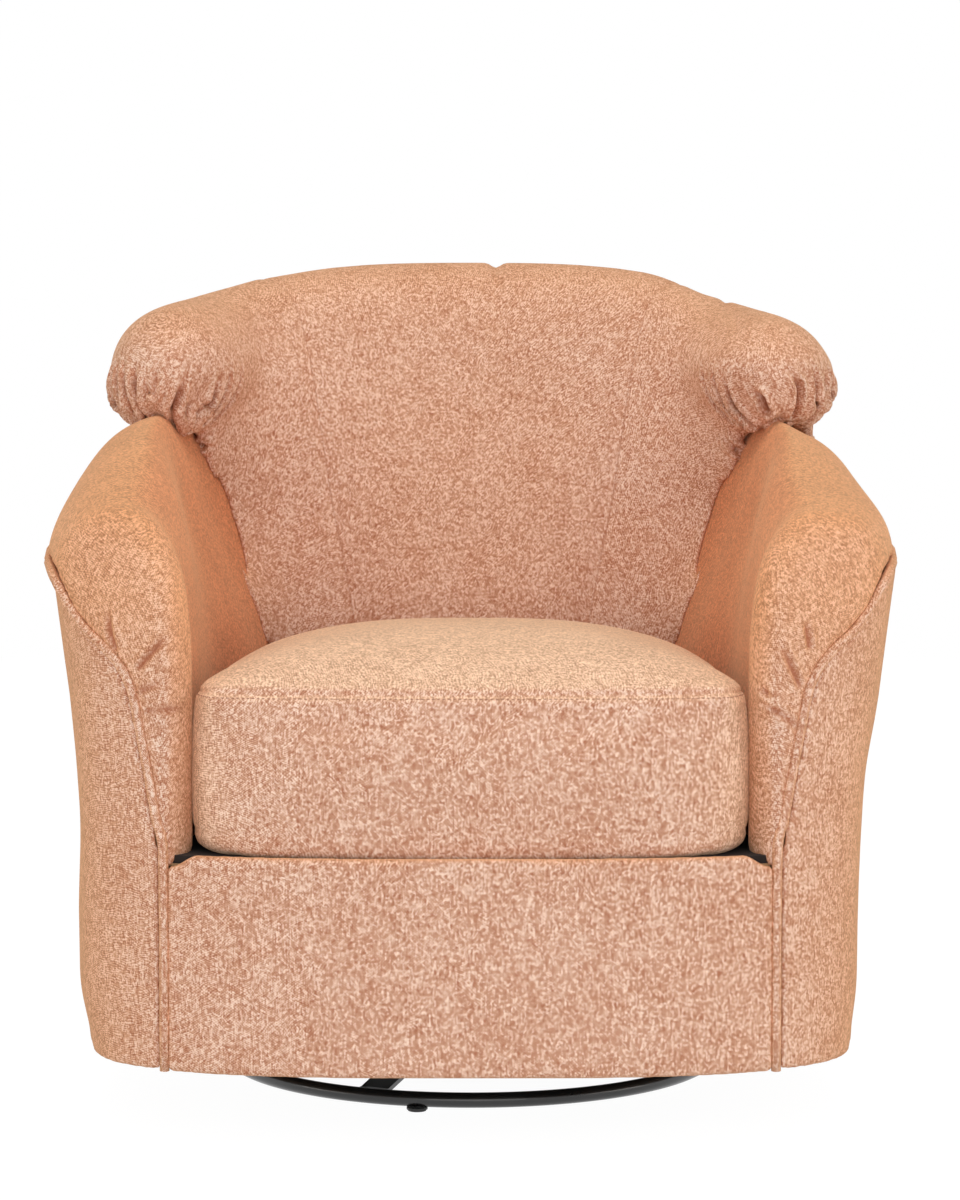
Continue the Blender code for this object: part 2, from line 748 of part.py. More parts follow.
def welt(side_name, side, pieces):
    """The cord in the seam: up the front of the arm, round its tip and back along the side."""
    route = [(WELT_FOOT_X, front_y(WELT_FOOT_X, SKIRT_Z), SKIRT_Z)]
    route += [nose_point(angle, z) for angle, z in seam_route()]
    for y in np.linspace(ARM_NOSE_Y, WELT_END_Y, 5)[1:]:
        z = seam_z_side(y)
        route.append((reach((0.0, y), (1.0, 0.0), z), y, z))
    route = mirrored(route, side)
    wire(f"arm_welt_{side_name}", route, WELT_POINTS, WELT_R, FABRIC, 1)
    for piece in pieces:
        room = wire(f"welt_room_{piece.name}", route, WELT_POINTS, WELT_R + CLEARANCE, FABRIC, 1)
        cut_away(piece, room)


# Inside back: rays that leave the crest of the roll
def blend_section(middle, wing, share):
    return [((1 - share) * a[0] + share * b[0], (1 - share) * a[1] + share * b[1])
            for a, b in zip(middle, wing)]


def crest_ray(degrees, outward):
    """Origin and direction of a ray at an angle round the barrel, 0 at the middle of the back."""
    turn = math.radians(degrees)
    origin = (CREST_X * math.sin(turn), CREST_CENTRE_Y + CREST_DEPTH * math.cos(turn))
    normal = (CREST_DEPTH * math.sin(turn), CREST_X * math.cos(turn))
    length = math.hypot(*normal)
    return origin, (normal[0] / length * outward, normal[1] / length * outward)


def offset_section(section, inset):
    """Move a section inward, square to itself; its two ends move level."""
    made = []
    count = len(section)
    for index in range(count):
        before = section[max(index - 1, 0)]
        after = section[min(index + 1, count - 1)]
        along = np.array(after) - np.array(before)
        if index == 0:
            along = np.array([abs(along[0]) + 1.0, 0.0])
        if index == count - 1:
            along = np.array([0.0, -1.0])
        square = np.array([along[1], -along[0]]) / np.hypot(*along)
        made.append(np.array(section[index]) + square * inset)
    return made


def back_column(degrees, outward, steps):
    """Outer and inner points of one ray of the inside back, as distance out and height."""
    share = math.sin(math.radians(min(abs(degrees), 90.0))) ** SIDE_BLEND_POWER
    if outward < 0:
        controls = [(abs(q), z) for q, z in blend_section(MIDDLE_FRONT, WING_FRONT, share)]
    else:
        controls = blend_section(MIDDLE_REAR, WING_REAR, share)
    section = curve_through(controls, steps)
    section[-1] = np.array(controls[-1])
    inset = offset_section(section, BACK_PAD_T + (WING_PAD_T - BACK_PAD_T) * share)
    floor = controls[-1][1]
    hollow = [(0.0, inset[0][1])]
    hollow += [(max(q, WING_HOLLOW_R), min(max(z, floor), inset[0][1] - CLEARANCE)) for q, z in inset[1:]]
    return section, hollow


def place_column(origin, direction, section):
    return [(origin[0] + direction[0] * q, origin[1] + direction[1] * q, z) for q, z in section]


def back_pad(name, angles):
    """A stretch of the inside back: its front face, and the roll over the top."""
    outer = []
    inner = []
    for degrees in angles:
        row_outer = []
        row_inner = []
        for outward, steps in ((-1, FACE_STEPS), (1, ROLL_STEPS)):
            origin, direction = crest_ray(degrees, outward)
            section, hollow = back_column(degrees, outward, steps)
            row_outer.append(place_column(origin, direction, section))
            row_inner.append(place_column(origin, direction, hollow))
        outer.append(row_outer[0][::-1] + row_outer[1][1:])
        inner.append(row_inner[0][::-1] + row_inner[1][1:])
    return thick_sheet(name, outer, inner, FABRIC)


def wing_points(side):
    """Points of the puffed round end of the roll, and of the roll where the end grows out of it."""
    origin, _ = crest_ray(side * CREST_SPAN_DEG, 1)
    ball = bmesh.new()
    bmesh.ops.create_uvsphere(ball, u_segments=WING_SEGMENTS, v_segments=WING_SEGMENTS // 2, radius=1.0)
    bmesh.ops.scale(ball, vec=WING_RADII, verts=ball.verts)
    bmesh.ops.translate(ball, vec=(origin[0], origin[1], WING_REAR[0][1] - WING_RADII[2]), verts=ball.verts)
    points = [tuple(vertex.co) for vertex in ball.verts]
    ball.free()
    for outward, steps in ((-1, FACE_STEPS), (1, ROLL_STEPS)):
        root, direction = crest_ray(side * WING_ROOT_DEG, outward)
        section, _ = back_column(WING_ROOT_DEG, outward, steps)
        inside = place_column(root, direction, offset_section(section, WING_ROOT_INSET))
        points += [point for point in inside if point[2] > WING_ROOT_Z]
    return points


def wing_end(side_name, side):
    """The round end of the roll above the arm, which runs into the roll without a neck."""
    form = bmesh.new()
    for point in wing_points(side):
        form.verts.new(point)
    hull = bmesh.ops.convex_hull(form, input=form.verts)
    spare = {item for key in ("geom_interior", "geom_unused") for item in hull[key]}
    bmesh.ops.delete(form, geom=[item for item in spare if isinstance(item, bmesh.types.BMVert)], context="VERTS")
    bmesh.ops.recalc_face_normals(form, faces=form.faces)
    mesh = bpy.data.meshes.new("wing_end")
    form.to_mesh(mesh)
    form.free()
    return add_object(f"wing_end_{side_name}", mesh, FABRIC)


def inside_back():
    edge = BACK_SEAM_DEG - math.degrees(BACK_SEAM_GAP / CREST_DEPTH)
    back_pad("inside_back_centre", [float(degrees) for degrees in np.linspace(-edge, edge, CENTRE_RAYS)])
    for side_name, side in (("left", -1), ("right", 1)):
        angles = sorted(side * float(degrees) for degrees in np.linspace(BACK_SEAM_DEG, CREST_SPAN_DEG, SIDE_RAYS))
        pad = back_pad(f"inside_back_{side_name}", angles)
        join_on(pad, wing_end(side_name, side))
        cut_away(pad, arm_form(side_name, side))


# Seat cushion
def cushion_outline(share, count):
    """Plan outline of the cushion, drawn in by a share of its size."""
    points = []
    wide = CUSHION_HALF_WIDTH - CUSHION_SIDE_GAP
    middle_y = (CUSHION_FRONT_Y + CUSHION_BACK_Y) / 2
    deep = (CUSHION_BACK_Y - CUSHION_FRONT_Y) / 2
    for step in range(count):
        turn = 2 * math.pi * step / count
        power = CUSHION_POWER_BACK if math.sin(turn) > 0 else CUSHION_POWER_FRONT
        across = math.copysign(abs(math.cos(turn)) ** (2 / power), math.cos(turn))
        along = math.copysign(abs(math.sin(turn)) ** (2 / power), math.sin(turn))
        x = wide * across * share
        y = middle_y + deep * along * share
        points.append((x, y))
    return points


def cushion_bow(x, y):
    """The front of the cushion is bowed like the rail below it."""
    if y > FRONT_CENTRE_Y:
        return 0.0
    share = (FRONT_CENTRE_Y - y) / (FRONT_CENTRE_Y - CUSHION_FRONT_Y)
    return (front_y(x, DECK_TOP) + HALF_DEPTH) * share


def seat_cushion():
    count = CUSHION_POINTS
    low = DECK_TOP + CLEARANCE
    drawn = CUSHION_DRAW_IN / CUSHION_HALF_WIDTH
    rings = [(1 - times * drawn, low + share * (CUSHION_SEAM_Z - low)) for times, share in CUSHION_SIDE]
    seam_share = rings[-1][0]
    for share in CUSHION_CROWN:
        rings.append((share * seam_share, CUSHION_SEAM_Z + (CUSHION_CROWN_Z - CUSHION_SEAM_Z) * (1 - share ** 3)))
    points = []
    for share, z in rings:
        for x, y in cushion_outline(share, count):
            points.append((x, y + cushion_bow(x, y), z))
    faces = [list(range(count))[::-1]]
    for ring in range(len(rings) - 1):
        for index in range(count):
            after = (index + 1) % count
            faces.append([ring * count + index, ring * count + after,
                          (ring + 1) * count + after, (ring + 1) * count + index])
    last = (len(rings) - 1) * count
    faces.append([last + index for index in range(count)])
    return add_object("seat_cushion", mesh_from("seat_cushion", points, faces), FABRIC)


# Deck and wooden frame
def seat_frame():
    front_in = []
    front_out = []
    half = SIDE_RAIL_IN - CLEARANCE
    for x in front_stations(half):
        start = front_line(x) + COVER_T + CLEARANCE
        front_out.append((x, start))
        front_in.append((x, start + RAIL_T))
    prism("seat_rail_front", front_out + front_in[::-1], 2, RAIL_LOW, RAIL_TOP, WOOD)
    back_low = SEAT_BACK_RAIL_Y
    box("seat_rail_back", (-SIDE_RAIL_IN + CLEARANCE, back_low, RAIL_LOW),
        (SIDE_RAIL_IN - CLEARANCE, back_low + RAIL_T, RAIL_TOP), WOOD, WOOD_EDGE)
    deck = [(x, y) for x, y in front_out] + [(half, back_low + RAIL_T), (-half, back_low + RAIL_T)]
    prism("deck_pad", deck, 2, RAIL_TOP + CLEARANCE, DECK_TOP, BLACK_CLOTH)
    side_front = front_y(SIDE_RAIL_OUT, DECK_TOP) + COVER_T + 4 * CLEARANCE
    for side_name, side in (("left", -1), ("right", 1)):
        low_x, high_x = sorted((side * SIDE_RAIL_IN, side * SIDE_RAIL_OUT))
        box(f"seat_rail_{side_name}", (low_x, side_front, RAIL_LOW),
            (high_x, back_low + RAIL_T, DECK_TOP), WOOD, WOOD_EDGE)
        near = SIDE_RAIL_OUT + CLEARANCE
        low_x, high_x = sorted((side * near, side * (near + ARM_PANEL_T)))
        box(f"arm_panel_{side_name}", (low_x, ARM_PANEL_FRONT_Y, RAIL_LOW),
            (high_x, ARM_PANEL_REAR_Y, ARM_PANEL_TOP), WOOD, WOOD_EDGE)
        back_post(side_name, side)
    top_y = post_y(BACK_POST_TOP - BACK_RAIL_HEIGHT / 2)
    reach_x = BACK_POST_X - CLEARANCE
    rail = [(top_y + (z - BACK_POST_TOP + BACK_RAIL_HEIGHT / 2) * post_slope() + push, z)
            for z, push in ((BACK_POST_TOP - BACK_RAIL_HEIGHT, 0.0), (BACK_POST_TOP, 0.0),
                            (BACK_POST_TOP, BACK_POST_T), (BACK_POST_TOP - BACK_RAIL_HEIGHT, BACK_POST_T))]
    prism("back_top_rail", rail, 0, -reach_x, reach_x, WOOD)
    for slat_name, middle in (("front", -LINK_Y), ("rear", LINK_Y)):
        box(f"mounting_slat_{slat_name}", (-SIDE_RAIL_IN + CLEARANCE, middle - SLAT_WIDTH / 2, SLAT_Z),
            (SIDE_RAIL_IN - CLEARANCE, middle + SLAT_WIDTH / 2, SLAT_Z + SLAT_T), WOOD, WOOD_EDGE)


def post_slope():
    return BACK_POST_LEAN / (BACK_POST_TOP - DECK_TOP)


def post_y(z):
    """Front face of the back posts at a height: upright beside the seat rail, leaning above it."""
    return SEAT_BACK_RAIL_Y + RAIL_T + CLEARANCE + max(z - DECK_TOP, 0.0) * post_slope()


def back_post(side_name, side):
    outline = [(post_y(z), z) for z in (RAIL_LOW, DECK_TOP, BACK_POST_TOP)]
    outline += [(post_y(z) + BACK_POST_T, z) for z in (BACK_POST_TOP, DECK_TOP, RAIL_LOW)]
    low_x, high_x = sorted((side * BACK_POST_X, side * (BACK_POST_X + BACK_POST_WIDTH)))
    prism(f"back_post_{side_name}", outline, 0, low_x, high_x, WOOD)


def seat_springs():
    """Sinuous wire springs from the front rail to the back rail, tied across by straight wires."""
    z = RAIL_TOP - SPRING_WIRE_R
    middle = (SPRING_COUNT - 1) / 2
    wires = []
    for index in range(SPRING_COUNT):
        x = (index - middle) * SPRING_PITCH_X
        start = front_line(x) + COVER_T + RAIL_T + 5 * CLEARANCE
        end = SEAT_BACK_RAIL_Y - 2 * CLEARANCE
        route = [(x, start, z), (x, start + SPRING_END, z)]
        for bend in range(SPRING_BENDS):
            y = start + SPRING_END + (end - start - 2 * SPRING_END) * (bend + 1) / (SPRING_BENDS + 1)
            swing = SPRING_SWING if bend % 2 else -SPRING_SWING
            route.append((x + swing, y, z))
        route += [(x, end - SPRING_END, z), (x, end, z)]
        wires.append(wire(f"spring_wire_{index + 1}", route, 3 * SPRING_BENDS + 7, SPRING_WIRE_R, ZINC_STEEL))
    for index in range(SPRING_TIES):
        y = SPRING_TIE_PITCH * (index - (SPRING_TIES - 1) / 2)
        half = middle * SPRING_PITCH_X + SPRING_SWING
        wires.append(wire(f"tie_wire_{index + 1}", [(-half, y, z), (half, y, z)], 2, SPRING_WIRE_R, ZINC_STEEL))
    springs = wires[0]
    springs.name = "seat_springs"
    for other in wires[1:]:
        join_on(springs, other)


# Floor base
def floor_base():
    ring = [(RING_R + RING_TUBE_R * math.cos(turn), RING_TUBE_R * math.sin(turn))
            for turn in np.linspace(0, 2 * math.pi, 9)[:-1]]
    turned("base_ring", ring, (0, 0, RING_Z), 2, BLACK_STEEL, 64)
    disc = [(HUB_R, 0.0), (HUB_R, HUB_T), (PIVOT_R + CLEARANCE, HUB_T), (PIVOT_R + CLEARANCE, 0.0)]
    turned("hub_plate", disc, (0, 0, HUB_Z), 2, BLACK_STEEL, 32)
    for index in range(4):
        base_arm(index)
        glide(index)
    washer = [(RACE_OUTER_R, 0.0), (RACE_OUTER_R, RACE_T), (RACE_INNER_R, RACE_T), (RACE_INNER_R, 0.0)]
    turned("lower_race", washer, (0, 0, LOWER_RACE_Z), 2, ZINC_STEEL, 28)
    cage = [(r, z * RETAINER_T / RACE_T) for r, z in washer]
    turned("ball_retainer", cage, (0, 0, RETAINER_Z), 2, ZINC_STEEL, 28)
    foot_z = HUB_Z - CLEARANCE
    head_z = TURNTABLE_Z + TURNTABLE_T + CLEARANCE
    rod("pivot_rivet", [(PIVOT_HEAD_R, foot_z - PIVOT_HEAD_T, foot_z), (PIVOT_R, foot_z, head_z),
                        (PIVOT_HEAD_R, head_z, head_z + PIVOT_HEAD_T)], (0, 0, 0), 2, ZINC_STEEL, 24)


def base_arm(index):
    """A flat bar from under the hub plate, down to the inside of the ring."""
    inner_edge = RING_R - RING_TUBE_R - CLEARANCE
    far = math.sqrt(inner_edge ** 2 - (BASE_ARM_WIDTH / 2) ** 2)
    top = HUB_Z - CLEARANCE
    low = RING_Z + BASE_ARM_T / 2
    side = [(BASE_ARM_INNER_R, top), (HUB_R, top), (far - BASE_ARM_FOOT, low), (far, low)]
    outline = side + [(r, z - BASE_ARM_T) for r, z in side[::-1]]
    bar = prism(f"base_arm_{index + 1}", outline, 1, -BASE_ARM_WIDTH / 2, BASE_ARM_WIDTH / 2, BLACK_STEEL)
    bar.rotation_euler = (0, 0, math.radians(BASE_ARM_TURN_DEG + 90 * index))


def glide(index):
    turn = math.radians(GLIDE_TURN_DEG + 90 * index)
    centre = (RING_R * math.cos(turn), RING_R * math.sin(turn), 0)
    top = GLIDE_HEIGHT - CLEARANCE
    rod(f"floor_glide_{index + 1}", [(GLIDE_FOOT_R, 0.0, GLIDE_FOOT_HEIGHT), (GLIDE_R, GLIDE_FOOT_HEIGHT, top)],
        centre, 2, NYLON, 20)


# Turntable and glide mechanism
def turntable():
    washer = [(RACE_OUTER_R, 0.0), (RACE_OUTER_R, RACE_T), (RACE_INNER_R, RACE_T), (RACE_INNER_R, 0.0)]
    turned("upper_race", washer, (0, 0, UPPER_RACE_Z), 2, ZINC_STEEL, 28)
    plate = box("turntable_plate", (-TURNTABLE_HALF_X, -TURNTABLE_HALF_Y, TURNTABLE_Z),
                (TURNTABLE_HALF_X, TURNTABLE_HALF_Y, TURNTABLE_Z + TURNTABLE_T), BLACK_STEEL)
    hole(plate, "plate_drill", (0, 0, TURNTABLE_Z + TURNTABLE_T / 2), 2, PIVOT_R + CLEARANCE, 24)
    span = PLATE_IN_X - CLEARANCE
    for end_name, way in (("front", -1), ("rear", 1)):
        box(f"cross_member_{end_name}", (-span, way * CROSS_Y - CROSS_SIZE / 2, CROSS_Z),
            (span, way * CROSS_Y + CROSS_SIZE / 2, CROSS_Z + CROSS_SIZE), BLACK_STEEL, CROSS_EDGE)
        bar_end = LINK_IN_X + LINK_T + STOP_BAR_END
        rod(f"stop_bar_{end_name}", [(STOP_BAR_R, -bar_end, bar_end)], (0, stop_bar_y(way), STOP_BAR_Z),
            0, RUBBER, 16)
    for side_name, side in (("left", -1), ("right", 1)):
        side_plate(side_name, side)
        for end_name, y in (("front", -LINK_Y), ("rear", LINK_Y)):
            pivot_pin(f"upper_pin_{end_name}_{side_name}", side, y, LINK_UPPER_Z, PLATE_IN_X, PLATE_T,
                      LINK_IN_X, LINK_T)


def stop_bar_y(way):
    """Place of a stop bar: the edge of the link nearest to it meets it at the end of the swing."""
    swing = math.radians(SWING_DEG)
    drop = LINK_UPPER_Z - STOP_BAR_Z
    away = (LINK_WIDTH / 2 + STOP_BAR_R + STOP_ROOM + drop * math.sin(swing)) / math.cos(swing)
    return way * (LINK_Y - away)


def side_plate(side_name, side):
    """Stamped plate that carries the upper pivots, wide at the foot and narrower at the top."""
    foot = SIDE_PLATE_FOOT
    foot_z = CROSS_Z + SIDE_PLATE_FOOT_HEIGHT
    top = LINK_Y + LINK_WIDTH / 2
    high = LINK_UPPER_Z + LINK_WIDTH / 2
    corner = SIDE_PLATE_CORNER
    outline = [(-foot, CROSS_Z), (foot, CROSS_Z), (foot, foot_z), (top, high - corner), (top - corner, high),
               (-top + corner, high), (-top, high - corner), (-foot, foot_z)]
    low_x, high_x = sorted((side * PLATE_IN_X, side * (PLATE_IN_X + PLATE_T)))
    plate = prism(f"side_plate_{side_name}", outline, 0, low_x, high_x, BLACK_STEEL)
    middle_x = side * (PLATE_IN_X + PLATE_T / 2)
    for end_name, way in (("front", -1), ("rear", 1)):
        hole(plate, f"side_drill_{end_name}_{side_name}", (middle_x, way * LINK_Y, LINK_UPPER_Z),
             0, PIN_R + CLEARANCE)
        hole(plate, f"stop_drill_{end_name}_{side_name}", (middle_x, stop_bar_y(way), STOP_BAR_Z),
             0, STOP_BAR_R + CLEARANCE, 16)


def swing_links(end_name, y):
    for side_name, side in (("left", -1), ("right", 1)):
        swing_link(end_name, side_name, side, y)


def swing_link(end_name, side_name, side, y):
    outline = []
    radius = LINK_WIDTH / 2
    for turn in np.linspace(0, math.pi, 9):
        outline.append((y + radius * math.cos(turn), LINK_UPPER_Z + radius * math.sin(turn)))
    for turn in np.linspace(math.pi, 2 * math.pi, 9):
        outline.append((y + radius * math.cos(turn), LINK_LOWER_Z + radius * math.sin(turn)))
    low_x, high_x = sorted((side * LINK_IN_X, side * (LINK_IN_X + LINK_T)))
    link = prism(f"swing_link_{end_name}_{side_name}", outline, 0, low_x, high_x, ZINC_STEEL)
    room = CLEARANCE * (2 if end_name == "rear" else 1)
    middle_x = side * (LINK_IN_X + LINK_T / 2)
    hole(link, f"link_drill_up_{end_name}_{side_name}", (middle_x, y, LINK_UPPER_Z), 0, PIN_R + CLEARANCE)
    hole(link, f"link_drill_low_{end_name}_{side_name}", (middle_x, y, LINK_LOWER_Z), 0, PIN_R + room)


def pivot_pin(name, side, y, z, first_x, first_t, second_x, second_t):
    """A shouldered rivet through two plates: head, shank, shoulder between the plates, shank, head."""
    sections = [(PIN_HEAD_R, first_x - CLEARANCE - PIN_HEAD_T, first_x - CLEARANCE),
                (PIN_R, first_x - CLEARANCE, first_x + first_t + CLEARANCE),
                (PIN_SHOULDER_R, first_x + first_t + CLEARANCE, second_x - CLEARANCE),
                (PIN_R, second_x - CLEARANCE, second_x + second_t + CLEARANCE),
                (PIN_HEAD_R, second_x + second_t + CLEARANCE, second_x + second_t + CLEARANCE + PIN_HEAD_T)]
    if side < 0:
        sections = [(radius, -end, -start) for radius, start, end in sections[::-1]]
    rod(name, sections, (0, y, z), 0, ZINC_STEEL, 12)


def hanger(side_name, side):
    """Steel angle under the slats, with the lower pivots in its upright leg."""
    near = HANGER_IN_X
    outline = [(near, LINK_LOW_EDGE), (near + PLATE_T, LINK_LOW_EDGE), (near + PLATE_T, HANGER_TOP - PLATE_T),
               (near + HANGER_FLANGE, HANGER_TOP - PLATE_T), (near + HANGER_FLANGE, HANGER_TOP), (near, HANGER_TOP)]
    outline = [(side * x, z) for x, z in outline]
    rail = prism(f"hanger_rail_{side_name}", outline, 1, -HANGER_HALF_LENGTH, HANGER_HALF_LENGTH, BLACK_STEEL)
    for end_name, y in (("front", -LINK_Y), ("rear", LINK_Y)):
        hole(rail, f"hanger_drill_{end_name}_{side_name}", (side * (near + PLATE_T / 2), y, LINK_LOWER_Z),
             0, PIN_R + CLEARANCE)
        pivot_pin(f"lower_pin_{end_name}_{side_name}", side, y, LINK_LOWER_Z, LINK_IN_X, LINK_T,
                  HANGER_IN_X, PLATE_T)


def seat():
    """Everything that glides: hangers, wooden frame, springs and upholstery."""
    seat_frame()
    seat_springs()
    front_cover()
    outside_back()
    for side_name, side in (("left", -1), ("right", 1)):
        hanger(side_name, side)
        welt(side_name, side, [arm_pad(side_name, side), outside_arm(side_name, side)])
    inside_back()
    seat_cushion()


def main():
    clear_scene()
    floor_base()
    swivel = joint_axis("swivel_axis", (0, 0, TURNTABLE_Z))
    hang(swivel, turntable)
    front = joint_axis("front_glide_axis", (0, -LINK_Y, LINK_UPPER_Z), swivel)
    hang(front, swing_links, "front", -LINK_Y)
    rear = joint_axis("rear_glide_axis", (0, LINK_Y, LINK_UPPER_Z), swivel)
    hang(rear, swing_links, "rear", LINK_Y)
    level = joint_axis("seat_level_axis", (0, -LINK_Y, LINK_LOWER_Z), front)
    hang(level, seat)


main()
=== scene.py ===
"""Finish of the swivel glider chair: heathered upholstery, black deck cloth and a satin steel base.

Metres, +Z up, the chair faces -Y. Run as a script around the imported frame.
"""

import math
from contextlib import contextmanager

import bmesh
import bpy
import numpy as np
from bpy.props import FloatProperty, FloatVectorProperty, IntProperty, PointerProperty
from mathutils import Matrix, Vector
from mathutils.bvhtree import BVHTree


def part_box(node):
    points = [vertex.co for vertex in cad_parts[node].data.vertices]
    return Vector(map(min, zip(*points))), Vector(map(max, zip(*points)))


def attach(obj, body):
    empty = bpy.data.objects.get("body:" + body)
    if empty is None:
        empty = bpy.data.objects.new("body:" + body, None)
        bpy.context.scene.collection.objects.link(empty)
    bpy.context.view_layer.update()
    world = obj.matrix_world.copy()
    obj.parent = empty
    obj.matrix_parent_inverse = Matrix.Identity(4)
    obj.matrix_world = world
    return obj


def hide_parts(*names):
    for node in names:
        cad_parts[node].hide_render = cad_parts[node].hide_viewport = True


bl_info = {
    "name": "Swivel glider chair finish",
    "version": (1, 0, 0),
    "blender": (4, 5, 0),
    "location": "3D View > Sidebar > Chair",
    "description": "Dresses the chair's frame in upholstery, deck cloth and metal finishes",
    "category": "Object",
}

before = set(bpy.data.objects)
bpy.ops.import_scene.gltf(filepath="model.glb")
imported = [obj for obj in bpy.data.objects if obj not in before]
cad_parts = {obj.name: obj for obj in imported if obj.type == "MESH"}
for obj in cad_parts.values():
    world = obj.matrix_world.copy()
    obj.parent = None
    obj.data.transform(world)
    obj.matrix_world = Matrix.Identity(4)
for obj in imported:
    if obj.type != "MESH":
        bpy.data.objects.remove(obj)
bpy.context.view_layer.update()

# Photograph's frame, in pixels
IMAGE_WIDTH = 960
IMAGE_HEIGHT = 1200
SENSOR_MM = 36.0

# Meshes
MERGE = 1e-5
FACET_ANGLE = math.radians(30)
SHAPE_ANGLE = math.radians(50)
RIM_ANGLE = math.radians(50)
SMOOTH_LEVELS = 2
SIDES = (("left", -1), ("right", 1))
# Name of the point attribute that holds the share of painted shade in folds
FOLD = "fold"

# Cloth: how far it stands off its padding, and the width and height of one crossing of its threads
CLOTH_ROOM = 0.0014
WEAVE_WIDTH = 0.0028
WEAVE_HEIGHT = 0.0024

# Drift of the threads: stretch of its noise per metre, across and up, and its size in radians
DRIFT_ACROSS = (45.0, 45.0, 30.0)
DRIFT_UP = (30.0, 30.0, 45.0)
DRIFT_SIZE = 26.0

# Layers of the weave: stretch of the noise per metre, its detail and roughness, and its share in the mix
WEAVE_LAYERS = {
    "grain": ((760.0, 760.0, 85.0), 1.0, 0.5, 0.56),
    "dashes": ((210.0, 210.0, 640.0), 1.0, 0.5, 0.34),
    "patches": ((75.0, 75.0, 170.0), 2.0, 0.6, 0.20),
    "broad": ((16.0, 16.0, 11.0), 2.0, 0.5, 0.16),
}
SLUB_SHARE = 0.42
SLUB_HEIGHT = 0.7
THREAD_SHARE = 0.18
MIX_MIDDLE = 0.84
MIX_CONTRAST = 1.70
MIX_LEVEL = 0.54

# Painted sheen and shade of the cloth: how much of each shows, where it starts, and how far the weave
# shows through it
PAINTED_SHEEN_SHARE = 0.50
PAINTED_SHEEN_MOST = 0.90
PAINTED_CAST_CONTRAST = 0.80
PAINTED_CAST_LEVEL = 0.56
LEVEL_CLOTH = 0.20
HIGH_SHEEN_LOW_Z = 0.42
HIGH_SHEEN_HIGH_Z = 0.54
PAINTED_SHADE_FRONT_Y = -0.400
PAINTED_SHADE_BACK_Y = -0.270
FOLD_SHADE = 0.95
SEAM_SHADE = 0.45
SEAM_SHADE_WIDTH = 1 / 700

# Finishes of the CAD's materials: name, colour, colour of its grime, gloss and how far it varies, metal,
# height of its bumps and coat
FINISHES = {
    "black_steel":
        ("satin_black_paint", (0.012, 0.012, 0.013), (0.03, 0.03, 0.03), 0.30, 0.14, 0.0, 0.00015, 0.35),
    "zinc_steel":
        ("zinc_plate", (0.52, 0.52, 0.50), (0.40, 0.38, 0.33), 0.34, 0.2, 1.0, 0.0001),
    "black_rubber":
        ("black_rubber_sleeve", (0.016, 0.016, 0.016), (0.04, 0.04, 0.04), 0.75, 0.15, 0.0, 0.0002),
    "glide_nylon":
        ("glide_plastic", (0.02, 0.02, 0.02), (0.05, 0.05, 0.05), 0.45, 0.15, 0.0, 0.0001),
    "decking_cloth":
        ("black_deck_cloth", (0.012, 0.008, 0.007), (0.03, 0.022, 0.02), 0.9, 0.1, 0.0, 0.0006),
}
THREAD_FINISH = ("seam_thread", (0.36, 0.15, 0.09), (0.45, 0.22, 0.14), 0.8, 0.1, 0.0, 0.0001)

# Corner between the back and the arms: how far it leans out above the cushion, and where
CORNER_LEAN = 0.027
CORNER_RISE = {"up": (0.48, 0.63)}
CORNER_EASE = {"up": (0.70, 0.80)}
CORNER_EASED = 0.5
CORNER_INNER = {"across": (0.14, 0.24)}
CORNER_OUTER = {"across": (0.38, 0.29), "ahead": (0.20, -0.02)}

# Inside back: the line of its crest, and the place of its two long seams round it
CREST_X = 0.335
CREST_CENTRE_Y = 0.120
CREST_DEPTH = 0.2555
BACK_SEAM_DEG = 47.0
WING_X = 0.335
WING_Y = 0.089
WING_Z = 0.773

# Notches in the top of the roll: place across, depth and width
NOTCHES = ((0.029, 0.0060, 0.0075), (0.303, 0.0030, 0.0050))

# Skirt: the drop of its hem and where it fades out, and the drop of the front rail cover's top corners
HEM_DROP = 0.001
HEM = {"up": (0.17, 0.076)}
CORNER_DROP = 0.012

# Pixels of the photograph where folds run, from the end where each fades out
WING_PLEATS = (
    ((118, 352), (114, 378), (121, 405)),
    ((126, 350), (127, 388), (136, 411)),
    ((137, 357), (135, 384), (147, 414)),
    ((147, 361), (148, 392), (155, 417)),
    ((163, 346), (156, 376), (154, 393), (160, 418)),
    ((166, 380), (164, 396), (168, 420)),
    ((189, 362), (180, 392), (173, 408), (175, 423)),
    ((196, 396), (182, 411), (180, 425)),
    ((218, 393), (203, 404), (190, 417), (185, 428)),
    ((206, 426), (194, 436)),
    ((217, 448), (202, 445)),
    ((802, 352), (816, 380), (815, 399), (806, 418), (792, 432)),
    ((781, 362), (799, 385), (798, 399), (792, 413), (782, 427)),
    ((748, 386), (762, 398), (768, 411), (764, 429)),
    ((757, 421), (752, 435)),
    ((722, 434), (738, 451)),
    ((824, 360), (829, 382), (824, 404), (812, 424)),
)
ARM_WRINKLES = (
    ((107, 606), (111, 636), (117, 652)),
    ((180, 617), (158, 646), (136, 671)),
    ((166, 681), (139, 692)),
    ((190, 706), (168, 709), (143, 711)),
    ((776, 636), (791, 666), (801, 688)),
    ((805, 618), (810, 650)),
    ((746, 672), (766, 692), (798, 710)),
    ((750, 688), (775, 710), (797, 727)),
)


def amount_property(name, description, default, least=0.0):
    return FloatProperty(name=name, description=description, default=default, min=least)


def distance_property(name, description, default, least):
    return FloatProperty(name=name, description=description, subtype="DISTANCE", unit="LENGTH",
                         default=default, min=least)


def colour_property(name, description, default):
    return FloatVectorProperty(name=name, description=description, subtype="COLOR", size=3, default=default,
                               min=0.0, max=1.0)


